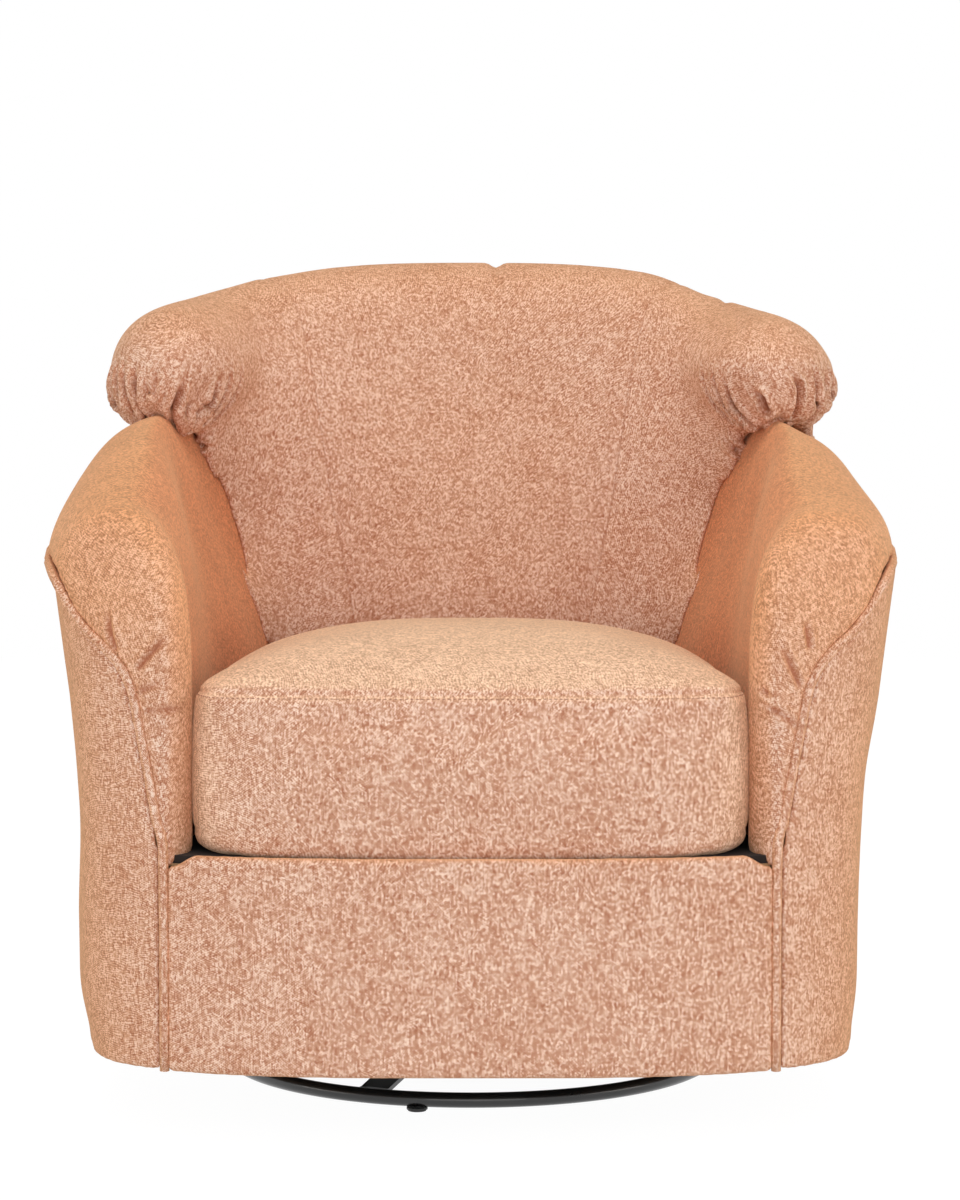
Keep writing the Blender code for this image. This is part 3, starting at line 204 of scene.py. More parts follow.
class StageSettings(bpy.types.PropertyGroup):
    """Camera and lamps."""

    camera_place: FloatVectorProperty(
        name="Camera place", description="Where the camera stands", subtype="TRANSLATION", unit="LENGTH",
        default=(0.0096, -3.448, 0.7094))
    camera_down: FloatProperty(
        name="Camera tilt", description="How far the camera looks down", subtype="ANGLE",
        default=math.radians(3.183))
    lens: amount_property("Lens", "Focal length in millimetres on a 36 mm frame height", 92.75, 10.0)
    key_power: amount_property("Front lamp", "Power of the large front lamp in watts", 19.0)
    side_power: amount_property(
        "Side lamps", "Power of the right side lamp in watts; the left one gives less", 17.0)
    top_power: amount_property("Top lamp", "Power of the lamp overhead in watts", 33.0)
    sky: amount_property("Sky", "Strength of the even light from all round", 0.30)


class FabricSettings(bpy.types.PropertyGroup):
    """Heathered upholstery cloth, with its painted sheen, highlight and shade colours."""

    rust_thread: colour_property("Rust thread", "Darkest thread of the cloth", (0.400, 0.140, 0.075))
    middle_thread: colour_property("Salmon thread", "Main thread of the cloth", (0.640, 0.345, 0.225))
    cream_thread: colour_property("Cream thread", "Lightest thread of the cloth", (0.930, 0.740, 0.630))
    # Painted sheen and top light: the golden colour where the cloth faces up, sideways or away from the view
    painted_sheen_colour: colour_property(
        "Golden cast", "Cloth where it curves away and its rust threads lie on top", (0.720, 0.335, 0.148))
    # Painted highlight: the cushion's colour where it faces up, sideways or away from the view
    painted_highlight_colour: colour_property(
        "Pale cast", "The cushion's cloth where it curves away into the light", (0.900, 0.620, 0.410))
    # Painted shade and bounce light on the arms' inside faces
    painted_inner_shade: colour_property(
        "Inner cast", "Cloth of the arms' inside faces, lit by the cushion beside it", (0.590, 0.172, 0.076))
    thread_width: distance_property("Thread width", "Width of a slub of thread", 0.0017, 0.0002)
    thread_length: distance_property(
        "Thread length", "Length of a slub of thread along the warp", 0.0024, 0.0002)


class SoftSettings(bpy.types.PropertyGroup):
    """Padding and seams."""

    voxel: distance_property("Mesh step", "Size of the squares of a padded piece", 0.0045, 0.002)
    panel_voxel: distance_property("Panel mesh step", "Size of the squares of a thin panel", 0.0036, 0.002)
    cushion_voxel: distance_property(
        "Cushion mesh step", "Size of the squares of the cushion before it is puffed up", 0.006, 0.003)
    pressure: amount_property("Cushion pressure", "Pressure inside the cushion's cover", 4.0)
    cap: distance_property("Cushion swell", "The furthest that a point of the cushion may move", 0.003, 0.0)
    puff_frames: IntProperty(
        name="Puff steps", description="Steps of the cushion's simulation", default=20, min=1)


# Meshes
def new_object(name, mesh):
    made = bpy.data.objects.new(name, mesh)
    bpy.context.scene.collection.objects.link(made)
    return made


def node_form(*names):
    """The merged solids of some nodes of the frame, as one bmesh."""
    form = bmesh.new()
    for name in names:
        form.from_mesh(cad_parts[name].data)
    bmesh.ops.remove_doubles(form, verts=form.verts, dist=MERGE)
    return form


def object_from(name, form):
    mesh = bpy.data.meshes.new(name)
    form.to_mesh(mesh)
    form.free()
    return new_object(name, mesh)


def baked(piece):
    """Turn what the modifiers make into the piece's plain mesh."""
    graph = bpy.context.evaluated_depsgraph_get()
    mesh = bpy.data.meshes.new_from_object(piece.evaluated_get(graph))
    old = piece.data
    name = old.name
    piece.modifiers.clear()
    piece.data = mesh
    bpy.data.meshes.remove(old)
    mesh.name = name
    mesh.materials.clear()
    mesh.shade_smooth()
    return piece


def subdivide(piece, levels):
    slot = piece.modifiers.new("fine", "SUBSURF")
    slot.levels = levels
    slot.render_levels = levels


def soften(piece, rounds):
    slot = piece.modifiers.new("soften", "SMOOTH")
    slot.factor = 0.5
    slot.iterations = rounds


def remesh(piece, voxel):
    slot = piece.modifiers.new("even", "REMESH")
    slot.mode = "VOXEL"
    slot.voxel_size = voxel
    slot.use_smooth_shade = True


def smooth_copy(name, nodes):
    """Solids of the frame with their facets turned into smooth faces; their sharp rims stay in place."""
    form = node_form(*nodes)
    bmesh.ops.join_triangles(form, faces=form.faces, cmp_seam=False, cmp_sharp=False, cmp_uvs=False,
                             cmp_vcols=False, cmp_materials=False, angle_face_threshold=FACET_ANGLE,
                             angle_shape_threshold=SHAPE_ANGLE)
    held_edge = form.edges.layers.float.new("crease_edge")
    held_point = form.verts.layers.float.new("crease_vert")
    for edge in form.edges:
        if len(edge.link_faces) == 2 and edge.calc_face_angle() > RIM_ANGLE:
            edge[held_edge] = 1.0
            for point in edge.verts:
                point[held_point] = 1.0
    piece = object_from(name, form)
    subdivide(piece, SMOOTH_LEVELS)
    return piece


def soft_copy(name, nodes, voxel, rounds):
    """A fine even mesh over some solids of the frame, with its facets rounded off."""
    piece = smooth_copy(name, nodes)
    remesh(piece, voxel)
    soften(piece, rounds)
    return baked(piece)


def read_points(mesh, what="co"):
    values = np.empty(len(mesh.vertices) * 3)
    mesh.vertices.foreach_get(what, values)
    return values.reshape(-1, 3)


def read_normals(mesh):
    return read_points(mesh, "normal")


def write_points(mesh, points):
    mesh.vertices.foreach_set("co", points.ravel())
    mesh.update()


@contextmanager
def points_of(piece):
    """The points of a piece's mesh, written back where the block ends."""
    points = read_points(piece.data)
    yield points
    write_points(piece.data, points)


def swell(piece, amounts):
    """Move each point along its normal."""
    with points_of(piece) as points:
        points += read_normals(piece.data) * np.asarray(amounts).reshape(-1, 1)


def step_up(values, low, high):
    """0 below low, 1 above high and a smooth rise between; low above high turns it round."""
    share = np.clip((values - low) / (high - low), 0.0, 1.0)
    return share * share * (3 - 2 * share)


def region(points, across=None, right=None, ahead=None, up=None):
    """How far each point lies in a region, from 0 to 1.

    Each pair holds the measures between which the share rises: across, on either side of the middle, to the
    right, ahead of the middle or up from the floor. A pair that goes down makes the share fall.
    """
    share = np.ones(len(points))
    measures = (np.abs(points[:, 0]), points[:, 0], -points[:, 1], points[:, 2])
    for measure, pair in zip(measures, (across, right, ahead, up)):
        if pair:
            share *= step_up(measure, *pair)
    return share


def relax(piece, shares, rounds):
    """Even out a mesh where the shares of its points say."""
    mesh = piece.data
    points = read_points(mesh)
    ends = np.empty(len(mesh.edges) * 2, dtype=int)
    mesh.edges.foreach_get("vertices", ends)
    first, second = ends.reshape(-1, 2).T
    count = np.bincount(ends, minlength=len(points))[:, None]
    strength = 0.5 * np.asarray(shares)[:, None]
    for _ in range(rounds):
        total = np.empty_like(points)
        for axis in range(3):
            total[:, axis] = np.bincount(first, points[second, axis], len(points))
            total[:, axis] += np.bincount(second, points[first, axis], len(points))
        points += strength * (total / count - points)
    write_points(mesh, points)


def refine(piece, inside, rounds=3):
    """Halve the squares of a mesh where inside is true, and round them off again."""
    form = bmesh.new()
    form.from_mesh(piece.data)
    chosen = [edge for edge in form.edges if all(inside[point.index] for point in edge.verts)]
    made = bmesh.ops.subdivide_edges(form, edges=chosen, cuts=1, use_grid_fill=True)
    form.verts.index_update()
    faces = [item for item in made["geom"] if isinstance(item, bmesh.types.BMFace)]
    fresh = {point.index for face in faces for point in face.verts}
    form.to_mesh(piece.data)
    form.free()
    piece.data.shade_smooth()
    shares = np.zeros(len(piece.data.vertices))
    shares[list(fresh)] = 1.0
    relax(piece, shares, rounds)


def path_distance(points, path):
    """Distance of each point to a path, and the share of the path's length where it is nearest."""
    runs = np.diff(path, axis=0)
    lengths = np.linalg.norm(runs, axis=1)
    total = lengths.sum()
    best = np.full(len(points), np.inf)
    share = np.zeros(len(points))
    passed = 0.0
    for start, run, length in zip(path, runs, lengths):
        along = np.clip((points - start) @ run / (length * length), 0.0, 1.0)
        gap = np.linalg.norm(points - start - along[:, None] * run, axis=1)
        nearer = gap < best
        best[nearer] = gap[nearer]
        share[nearer] = (passed + along[nearer] * length) / total
        passed += length
    return best, share


def crease(piece, path, depth, width, shoulder, fade_in, fade_out):
    """Press a soft groove with raised shoulders along a path on a piece; it fades towards its ends.

    The shoulder is a share of the depth, and the fades are shares of the path's length.
    """
    mesh = piece.data
    points = read_points(mesh)
    path = np.array(path)
    reach = 4 * width
    near = np.all((points > path.min(axis=0) - reach) & (points < path.max(axis=0) + reach), axis=1)
    gap, share = path_distance(points[near], path)
    ends = step_up(share, 0.0, fade_in)
    if fade_out > 0:
        ends = ends * step_up(1 - share, 0.0, fade_out)
    groove = -depth * np.exp(-(gap / width) ** 2)
    raised = shoulder * depth * np.exp(-((gap - 2 * width) / width) ** 2)
    points[near] += read_normals(mesh)[near] * ((groove + raised) * ends)[:, None]
    write_points(mesh, points)
    # Painted shade along the groove
    shade_fold(mesh, near, np.exp(-(gap / width) ** 2) * ends)


def shade_fold(mesh, near, amounts):
    """Note how deep in a fold each point lies, for the painted shade of the cloth there."""
    layer = mesh.attributes.get(FOLD) or mesh.attributes.new(FOLD, "FLOAT", "POINT")
    values = np.empty(len(mesh.vertices), dtype=np.float32)
    layer.data.foreach_get("value", values)
    values[near] = np.maximum(values[near], amounts)
    layer.data.foreach_set("value", values)


def fill_hollows(piece, shares, rounds, depth):
    """Raise the hollows of a mesh towards its evened form; its bulges stay as they are."""
    mesh = piece.data
    before = read_points(mesh)
    normals = read_normals(mesh)
    relax(piece, np.ones(len(before)), rounds)
    rise = np.sum((read_points(mesh) - before) * normals, axis=1)
    write_points(mesh, before + normals * (np.clip(rise, 0.0, depth) * shares)[:, None])


def surface_tree(piece):
    graph = bpy.context.evaluated_depsgraph_get()
    return BVHTree.FromObject(piece, graph)


def sight(column, row):
    """The camera's place and the direction in which it sees a pixel of the photograph."""
    stage = bpy.context.scene.chair_stage
    down = stage.camera_down
    reach = stage.lens / SENSOR_MM * IMAGE_HEIGHT
    across = (column - IMAGE_WIDTH / 2) / reach
    up = (IMAGE_HEIGHT / 2 - row) / reach
    ahead = Vector((0.0, math.cos(down), -math.sin(down)))
    upward = Vector((0.0, math.sin(down), math.cos(down)))
    return Vector(stage.camera_place), (ahead + Vector((across, 0.0, 0.0)) + upward * up).normalized()


def traced(tree, pixels):
    """Places on a surface under pixels of the photograph."""
    made = []
    for column, row in pixels:
        origin, direction = sight(column, row)
        place = tree.ray_cast(origin, direction)[0]
        if place is not None:
            made.append(tuple(place))
    return made


# Materials
def new_material(name):
    made = bpy.data.materials.new(name)
    made.use_nodes = True
    return made, made.node_tree, made.node_tree.nodes["Principled BSDF"]


def add_sockets(tree, way, *rows):
    """Sockets of a node group; a row holds a name and a kind, then perhaps its value and its least value."""
    for name, kind, *values in rows:
        socket = tree.interface.new_socket(name=name, in_out=way, socket_type=f"NodeSocket{kind}")
        for key, value in zip(("default_value", "min_value"), values):
            setattr(socket, key, value)


def set_inputs(node, values):
    for name, value in values.items():
        node.inputs[name].default_value = value


def link(tree, *rows):
    """Link nodes; a row holds a node and its output's name, then a node and its input's name or number."""
    for source, output, target, entry in rows:
        tree.links.new(source.outputs[output], target.inputs[entry])


class Value:
    """A number, vector or colour in a node tree; sums and products of numbers become Math nodes."""

    def __init__(self, tree, socket):
        self.tree = tree
        self.socket = socket

    def to(self, socket):
        self.tree.links.new(self.socket, socket)

    def math(self, operation, *others):
        node = self.tree.nodes.new("ShaderNodeMath")
        node.operation = operation
        for value, socket in zip((self, *others), node.inputs):
            if isinstance(value, Value):
                value.to(socket)
            else:
                socket.default_value = value
        return Value(self.tree, node.outputs[0])

    def __add__(self, other):
        return self.math("ADD", other)

    def __sub__(self, other):
        return self.math("SUBTRACT", other)

    def __mul__(self, other):
        return self.math("MULTIPLY", other)

    def at_least(self, other):
        return self.math("MAXIMUM", other)

    def at_most(self, other):
        return self.math("MINIMUM", other)

    def limited(self):
        """The value held between 0 and 1."""
        return self.at_least(0.0).at_most(1.0)

    def rising(self, low, high):
        """0 below low, 1 above high and a straight rise between."""
        return (self * (1 / (high - low)) - low / (high - low)).limited()

    def parts(self):
        """The three parts of a vector."""
        node = self.tree.nodes.new("ShaderNodeSeparateXYZ")
        self.to(node.inputs["Vector"])
        return values_of(self.tree, node).values()

    def stretched(self, scale):
        """A vector stretched by a Mapping node."""
        node = self.tree.nodes.new("ShaderNodeMapping")
        node.vector_type = "POINT"
        self.to(node.inputs["Vector"])
        if isinstance(scale, Value):
            scale.to(node.inputs["Scale"])
        else:
            node.inputs["Scale"].default_value = scale
        return Value(self.tree, node.outputs["Vector"])

    def scaled(self, share):
        """A colour times a number."""
        node = self.tree.nodes.new("ShaderNodeVectorMath")
        node.operation = "SCALE"
        self.to(node.inputs[0])
        share.to(node.inputs["Scale"])
        return Value(self.tree, node.outputs["Vector"])

    def noise(self, scale, detail=2.0, roughness=0.5):
        """Noise at this place, from 0 to 1."""
        node = self.tree.nodes.new("ShaderNodeTexNoise")
        set_inputs(node, {"Scale": 1.0, "Detail": detail, "Roughness": roughness})
        self.stretched(scale).to(node.inputs["Vector"])
        return Value(self.tree, node.outputs["Fac"])


def values_of(tree, node):
    """The outputs of a node by name."""
    return {socket.name: Value(tree, socket) for socket in node.outputs if socket.name}


def new_values(tree, kind):
    return values_of(tree, tree.nodes.new(kind))


def colour_ramp(value, stops):
    node = value.tree.nodes.new("ShaderNodeValToRGB")
    ramp = node.color_ramp
    while len(ramp.elements) < len(stops):
        ramp.elements.new(0.5)
    for element, (place, colour) in zip(ramp.elements, stops):
        element.position = place
        element.color = (*colour, 1.0)
    value.to(node.inputs["Fac"])
    return Value(value.tree, node.outputs["Color"])


def mix_colour(share, first, second):
    node = share.tree.nodes.new("ShaderNodeMix")
    node.data_type = "RGBA"
    for name, value in (("Factor", share), ("A", first), ("B", second)):
        value.to(next(one for one in node.inputs if one.name == name and one.enabled))
    return Value(share.tree, next(one for one in node.outputs if one.enabled))


def thread_crossings(place):
    """A weave, from -1 to 1, of upright and level threads that drift a little."""
    x, y, z = place.parts()
    waves = []
    for value, pitch, scale in ((x + y, WEAVE_WIDTH, DRIFT_ACROSS), (z, WEAVE_HEIGHT, DRIFT_UP)):
        drift = place.noise(scale, 1.0) * DRIFT_SIZE
        waves.append((value * (2 * math.pi / pitch) + drift).math("SINE"))
    return waves[0] * waves[1]


def seam_distance(place, seam):
    """Distance beyond a seam that stands upright on both sides; the seam holds its slope and its place."""
    x, y, _ = place.parts()
    slope_x, slope_y, line = seam.parts()
    return x.math("ABSOLUTE") * slope_x + y * slope_y - line


def back_seam():
    """Slope and place of the inside back's long seams, for one side."""
    turn = math.radians(BACK_SEAM_DEG)
    place = np.array([CREST_X * math.sin(turn), CREST_CENTRE_Y + CREST_DEPTH * math.cos(turn)])
    outward = np.array([CREST_DEPTH * math.sin(turn), CREST_X * math.cos(turn)])
    outward /= np.linalg.norm(outward)
    along = np.array([outward[1], -outward[0]])
    return float(along[0]), float(along[1]), float(place @ along)


def weave_mix(place, slub_scale):
    """The mix of the weave's layers, from 0 to 1, and the height of its threads."""
    slubs = place.tree.nodes.new("ShaderNodeTexVoronoi")
    set_inputs(slubs, {"Scale": 1.0, "Randomness": 1.0})
    place.stretched(slub_scale).to(slubs.inputs["Vector"])
    split = place.tree.nodes.new("ShaderNodeSeparateColor")
    link(place.tree, (slubs, "Color", split, "Color"))
    mix = Value(place.tree, split.outputs["Red"]) * SLUB_SHARE
    noises = {}
    for name, (scale, detail, roughness, share) in WEAVE_LAYERS.items():
        noises[name] = place.noise(scale, detail, roughness)
        mix = noises[name] * share + mix
    mix = thread_crossings(place) * THREAD_SHARE + mix
    height = noises["grain"] - Value(place.tree, slubs.outputs["Distance"]) * SLUB_HEIGHT
    return ((mix - MIX_MIDDLE) * MIX_CONTRAST + MIX_LEVEL).limited(), height


def weave_group():
    """Heathered weave: short slubs of several thread colours, a warp grain, broad patches, and painted sheen
    and shade.
    """
    found = bpy.data.node_groups.get("heathered_weave")
    if found:
        return found
    tree = bpy.data.node_groups.new("heathered_weave", "ShaderNodeTree")
    add_sockets(
        tree, "INPUT",
        ("Rust", "Color", (0.46, 0.20, 0.10, 1.0)), ("Salmon", "Color", (0.66, 0.38, 0.25, 1.0)),
        ("Cream", "Color", (0.85, 0.62, 0.48, 1.0)), ("Golden", "Color", (0.72, 0.39, 0.20, 1.0)),
        ("Inner", "Color", (0.60, 0.20, 0.09, 1.0)), ("Inner Share", "Float", 0.0),
        ("Slub Scale", "Vector", (500.0, 500.0, 320.0)), ("Lean", "Float", 0.0), ("Side Lean", "Float", 0.0),
        ("Seam", "Vector", (0.0, 0.0, 0.0)), ("Seam Shade", "Float", 0.0), ("Fold", "Float", 0.0),
        ("Tone", "Float", 0.0), ("Side Cast", "Float", 0.85))
    add_sockets(tree, "OUTPUT", ("Color", "Color"), ("Cast", "Color"), ("Height", "Float"))
    given = new_values(tree, "NodeGroupInput")
    outward = tree.nodes.new("NodeGroupOutput").inputs
    surface = new_values(tree, "ShaderNodeTexCoord")
    here_x, here_y, here_z = surface["Object"].parts()
    facing_x, _, facing_z = surface["Normal"].parts()
    past_seam = seam_distance(surface["Object"], given["Seam"])
    side = here_x.math("SIGN")

    turn = tree.nodes.new("ShaderNodeVectorRotate")
    turn.rotation_type = "Y_AXIS"
    surface["Object"].to(turn.inputs["Vector"])
    (past_seam.math("GREATER_THAN", 0.0) * side * given["Side Lean"] + given["Lean"]).to(turn.inputs["Angle"])
    value, height = weave_mix(Value(tree, turn.outputs["Vector"]), given["Slub Scale"])
    height.to(outward["Height"])

    darker = mix_colour(value * 2.0, given["Rust"], given["Salmon"])
    lighter = mix_colour(value * 2.0 - 1.0, given["Salmon"], given["Cream"])
    toned = mix_colour(value.math("GREATER_THAN", 0.5), darker, lighter)

    # Painted sheen and top light: golden where the cloth faces up or sideways, and high up where High Sheen
    # asks for it
    liveliness = value * PAINTED_CAST_CONTRAST + PAINTED_CAST_LEVEL
    painted_sheen = given["Golden"].scaled(liveliness)
    painted_sheen.to(outward["Cast"])
    away = facing_z.rising(LEVEL_CLOTH, 1.0).at_least(facing_x * facing_x * given["Side Cast"])
    raised = here_z.rising(HIGH_SHEEN_LOW_Z, HIGH_SHEEN_HIGH_Z) * given["Tone"]
    toned = mix_colour((away * PAINTED_SHEEN_SHARE + raised).at_most(PAINTED_SHEEN_MOST), toned, painted_sheen)

    # Painted shade and bounce light: deep colour on the faces towards the middle, and more so towards the
    # back
    inward = (facing_x * side * -1.0).at_least(0.0) * given["Inner Share"]
    inward = inward * here_y.rising(PAINTED_SHADE_FRONT_Y, PAINTED_SHADE_BACK_Y)
    toned = mix_colour(inward, toned, given["Inner"].scaled(liveliness))

    # Painted shade: rust colour in the folds and along the seams
    toned = mix_colour(given["Fold"], toned, given["Rust"])
    near = (past_seam.math("ABSOLUTE") * (-1 / SEAM_SHADE_WIDTH) + 1.0).at_least(0.0)
    mix_colour(near * given["Seam Shade"], toned, given["Rust"]).to(outward["Color"])
    return tree


def stitch_tree():
    """Geometry Nodes: one stitch set at each step along a line of edges."""
    found = bpy.data.node_groups.get("stitch_row")
    if found:
        return found
    tree = bpy.data.node_groups.new("stitch_row", "GeometryNodeTree")
    add_sockets(tree, "INPUT", ("Geometry", "Geometry"), ("Stitch", "Object"),
                ("Pitch", "Float", 0.005, 0.001), ("Finish", "Material"))
    add_sockets(tree, "OUTPUT", ("Geometry", "Geometry"))
    inward, outward, line, steps, stitch, placed, real, finish = (tree.nodes.new(kind) for kind in (
        "NodeGroupInput", "NodeGroupOutput", "GeometryNodeMeshToCurve", "GeometryNodeCurveToPoints",
        "GeometryNodeObjectInfo", "GeometryNodeInstanceOnPoints", "GeometryNodeRealizeInstances",
        "GeometryNodeSetMaterial"))
    steps.mode = "LENGTH"
    link(tree, (inward, "Geometry", line, "Mesh"), (line, "Curve", steps, "Curve"),
         (inward, "Pitch", steps, "Length"), (inward, "Stitch", stitch, "Object"),
         (steps, "Points", placed, "Points"), (steps, "Rotation", placed, "Rotation"),
         (stitch, "Geometry", placed, "Instance"), (placed, "Instances", real, "Geometry"),
         (real, "Geometry", finish, "Geometry"), (inward, "Finish", finish, "Material"),
         (finish, "Geometry", outward, "Geometry"))
    return tree


def stitch_row(name, paths, length, thickness, pitch, finish):
    """Sunk stitches along some paths, as one mesh."""
    form = bmesh.new()
    bmesh.ops.create_uvsphere(form, u_segments=8, v_segments=6, radius=0.5)
    bmesh.ops.scale(form, vec=(thickness, thickness, length), verts=form.verts)
    single = object_from(f"{name}_single", form)
    row = bmesh.new()
    for path in paths:
        points = [row.verts.new(place) for place in path]
        for first, second in zip(points, points[1:]):
            row.edges.new((first, second))
    piece = object_from(name, row)
    tree = stitch_tree()
    slot = piece.modifiers.new("stitches", "NODES")
    slot.node_group = tree
    values = {"Stitch": single, "Pitch": pitch, "Finish": finish}
    for item in tree.interface.items_tree:
        if item.name in values:
            slot[item.identifier] = values[item.name]
    baked(piece)
    bpy.data.objects.remove(single)
    dress(piece, finish)
    return piece


def fabric(name="chair_fabric", lean=0.0, side_lean=0.0, pale=False, inner=0.0, tone=0.0, side_sheen=0.85,
           grazing_sheen=0.80):
    """Heathered upholstery cloth; lean turns its grain, and side_lean turns it beyond the back's seams.

    A pale cloth gets a painted highlight where it curves away, and inner is the share of the painted shade
    and bounce light on the arms' inside faces. tone, side_sheen and grazing_sheen are the shares of the
    painted golden sheen high up, on the sides and where the cloth is seen at a low angle.
    """
    found = bpy.data.materials.get(name)
    if found:
        return found
    cloth = bpy.context.scene.chair_fabric
    made, tree, shader = new_material(name)
    weave = tree.nodes.new("ShaderNodeGroup")
    weave.node_tree = weave_group()
    # Painted sheen colour, or the painted highlight colour for a pale cloth
    painted_cast_colour = cloth.painted_highlight_colour if pale else cloth.painted_sheen_colour
    for socket, colour in (("Rust", cloth.rust_thread), ("Salmon", cloth.middle_thread),
                           ("Cream", cloth.cream_thread), ("Golden", painted_cast_colour), ("Inner", cloth.painted_inner_shade)):
        weave.inputs[socket].default_value = (*colour, 1.0)
    across = 1 / cloth.thread_width
    set_inputs(weave, {
        "Slub Scale": (across, across, 1 / cloth.thread_length), "Lean": lean, "Side Lean": side_lean,
        "Seam": back_seam(), "Seam Shade": SEAM_SHADE if side_lean else 0.0, "Inner Share": inner,
        "Tone": tone, "Side Cast": side_sheen,
    })
    # Painted shade in the folds
    fold = tree.nodes.new("ShaderNodeAttribute")
    fold.attribute_name = FOLD
    (Value(tree, fold.outputs["Fac"]) * FOLD_SHADE).to(weave.inputs["Fold"])
    # Painted sheen: the golden colour mixed in where the cloth is seen at a low angle
    grazing = tree.nodes.new("ShaderNodeLayerWeight")
    set_inputs(grazing, {"Blend": 0.42})
    cast = Value(tree, grazing.outputs["Facing"]).math("POWER", 1.8) * grazing_sheen
    woven = values_of(tree, weave)
    mix_colour(cast, woven["Color"], woven["Cast"]).to(shader.inputs["Base Color"])
    bump = tree.nodes.new("ShaderNodeBump")
    set_inputs(bump, {"Strength": 0.45, "Distance": 0.0008})
    link(tree, (weave, "Height", bump, "Height"), (bump, "Normal", shader, "Normal"))
    set_inputs(shader, {
        "Roughness": 0.92, "Specular IOR Level": 0.18, "Sheen Weight": 0.35, "Sheen Roughness": 0.45,
        "Sheen Tint": (1.0, 0.74, 0.50, 1.0),
    })
    return made


def worn_group():
    """Fine grime and rubbed patches for painted and plated metal."""
    found = bpy.data.node_groups.get("worn_surface")
    if found:
        return found
    tree = bpy.data.node_groups.new("worn_surface", "ShaderNodeTree")
    add_sockets(
        tree, "INPUT",
        ("Base", "Color", (0.03, 0.03, 0.03, 1.0)), ("Dusty", "Color", (0.08, 0.08, 0.08, 1.0)),
        ("Gloss", "Float", 0.35), ("Spread", "Float", 0.12))
    add_sockets(tree, "OUTPUT", ("Color", "Color"), ("Roughness", "Float"), ("Height", "Float"))
    given = new_values(tree, "NodeGroupInput")
    outward = tree.nodes.new("NodeGroupOutput").inputs
    place = new_values(tree, "ShaderNodeTexCoord")["Object"]
    broad = place.noise((28.0, 28.0, 28.0), 4.0, 0.6)
    rubbed = (broad * 2.2 - 0.75).limited()
    mix_colour(rubbed * 0.5, given["Base"], given["Dusty"]).to(outward["Color"])
    ((broad - 0.5) * given["Spread"] + given["Gloss"]).to(outward["Roughness"])
    place.noise((900.0, 900.0, 900.0)).to(outward["Height"])
    return tree


def worn_finish(name, base, dusty, gloss, spread, metallic, bump_height, coat=0.0):
    """A metal, paint, wood or rubber finish with grime and rubbed patches."""
    found = bpy.data.materials.get(name)
    if found:
        return found
    made, tree, shader = new_material(name)
    worn = tree.nodes.new("ShaderNodeGroup")
    worn.node_tree = worn_group()
    set_inputs(worn, {"Base": (*base, 1.0), "Dusty": (*dusty, 1.0), "Gloss": gloss, "Spread": spread})
    bump = tree.nodes.new("ShaderNodeBump")
    set_inputs(bump, {"Strength": 0.3, "Distance": bump_height})
    link(tree, (worn, "Color", shader, "Base Color"), (worn, "Roughness", shader, "Roughness"),
         (worn, "Height", bump, "Height"), (bump, "Normal", shader, "Normal"))
    set_inputs(shader, {"Metallic": metallic, "Coat Weight": coat})
    return made


def wood_finish():
    """Sawn hardwood with long grain."""
    found = bpy.data.materials.get("frame_hardwood")
    if found:
        return found
    made, tree, shader = new_material("frame_hardwood")
    place = new_values(tree, "ShaderNodeTexCoord")["Object"]
    fine = place.noise((40.0, 700.0, 700.0))
    grain = fine * 0.3 + place.noise((9.0, 60.0, 60.0), 4.0, 0.6) * 0.8
    stops = [(0.3, (0.30, 0.17, 0.08)), (0.55, (0.46, 0.29, 0.15)), (0.8, (0.58, 0.40, 0.23))]
    colour_ramp(grain, stops).to(shader.inputs["Base Color"])
    bump = tree.nodes.new("ShaderNodeBump")
    set_inputs(bump, {"Distance": 0.0004})
    fine.to(bump.inputs["Height"])
    link(tree, (bump, "Normal", shader, "Normal"))
    set_inputs(shader, {"Roughness": 0.62})
    return made


def dress(piece, finish):
    piece.data.materials.clear()
    piece.data.materials.append(finish)


# Stage
def lamp(name, place, target, size, power, colour):
    light = bpy.data.lights.new(name, "AREA")
    light.shape = "RECTANGLE"
    light.size = size[0]
    light.size_y = size[1]
    light.energy = power
    light.color = colour
    made = bpy.data.objects.new(name, light)
    made.visible_camera = False
    made.location = place
    aim = Vector(target) - Vector(place)
    made.rotation_euler = aim.to_track_quat("-Z", "Y").to_euler()
    bpy.context.scene.collection.objects.link(made)


def seen_directly(tree):
    """1 for camera, glossy and transmission rays, which see the plain white background."""
    path = new_values(tree, "ShaderNodeLightPath")
    return path["Is Camera Ray"].at_least(path["Is Glossy Ray"]).at_least(path["Is Transmission Ray"])


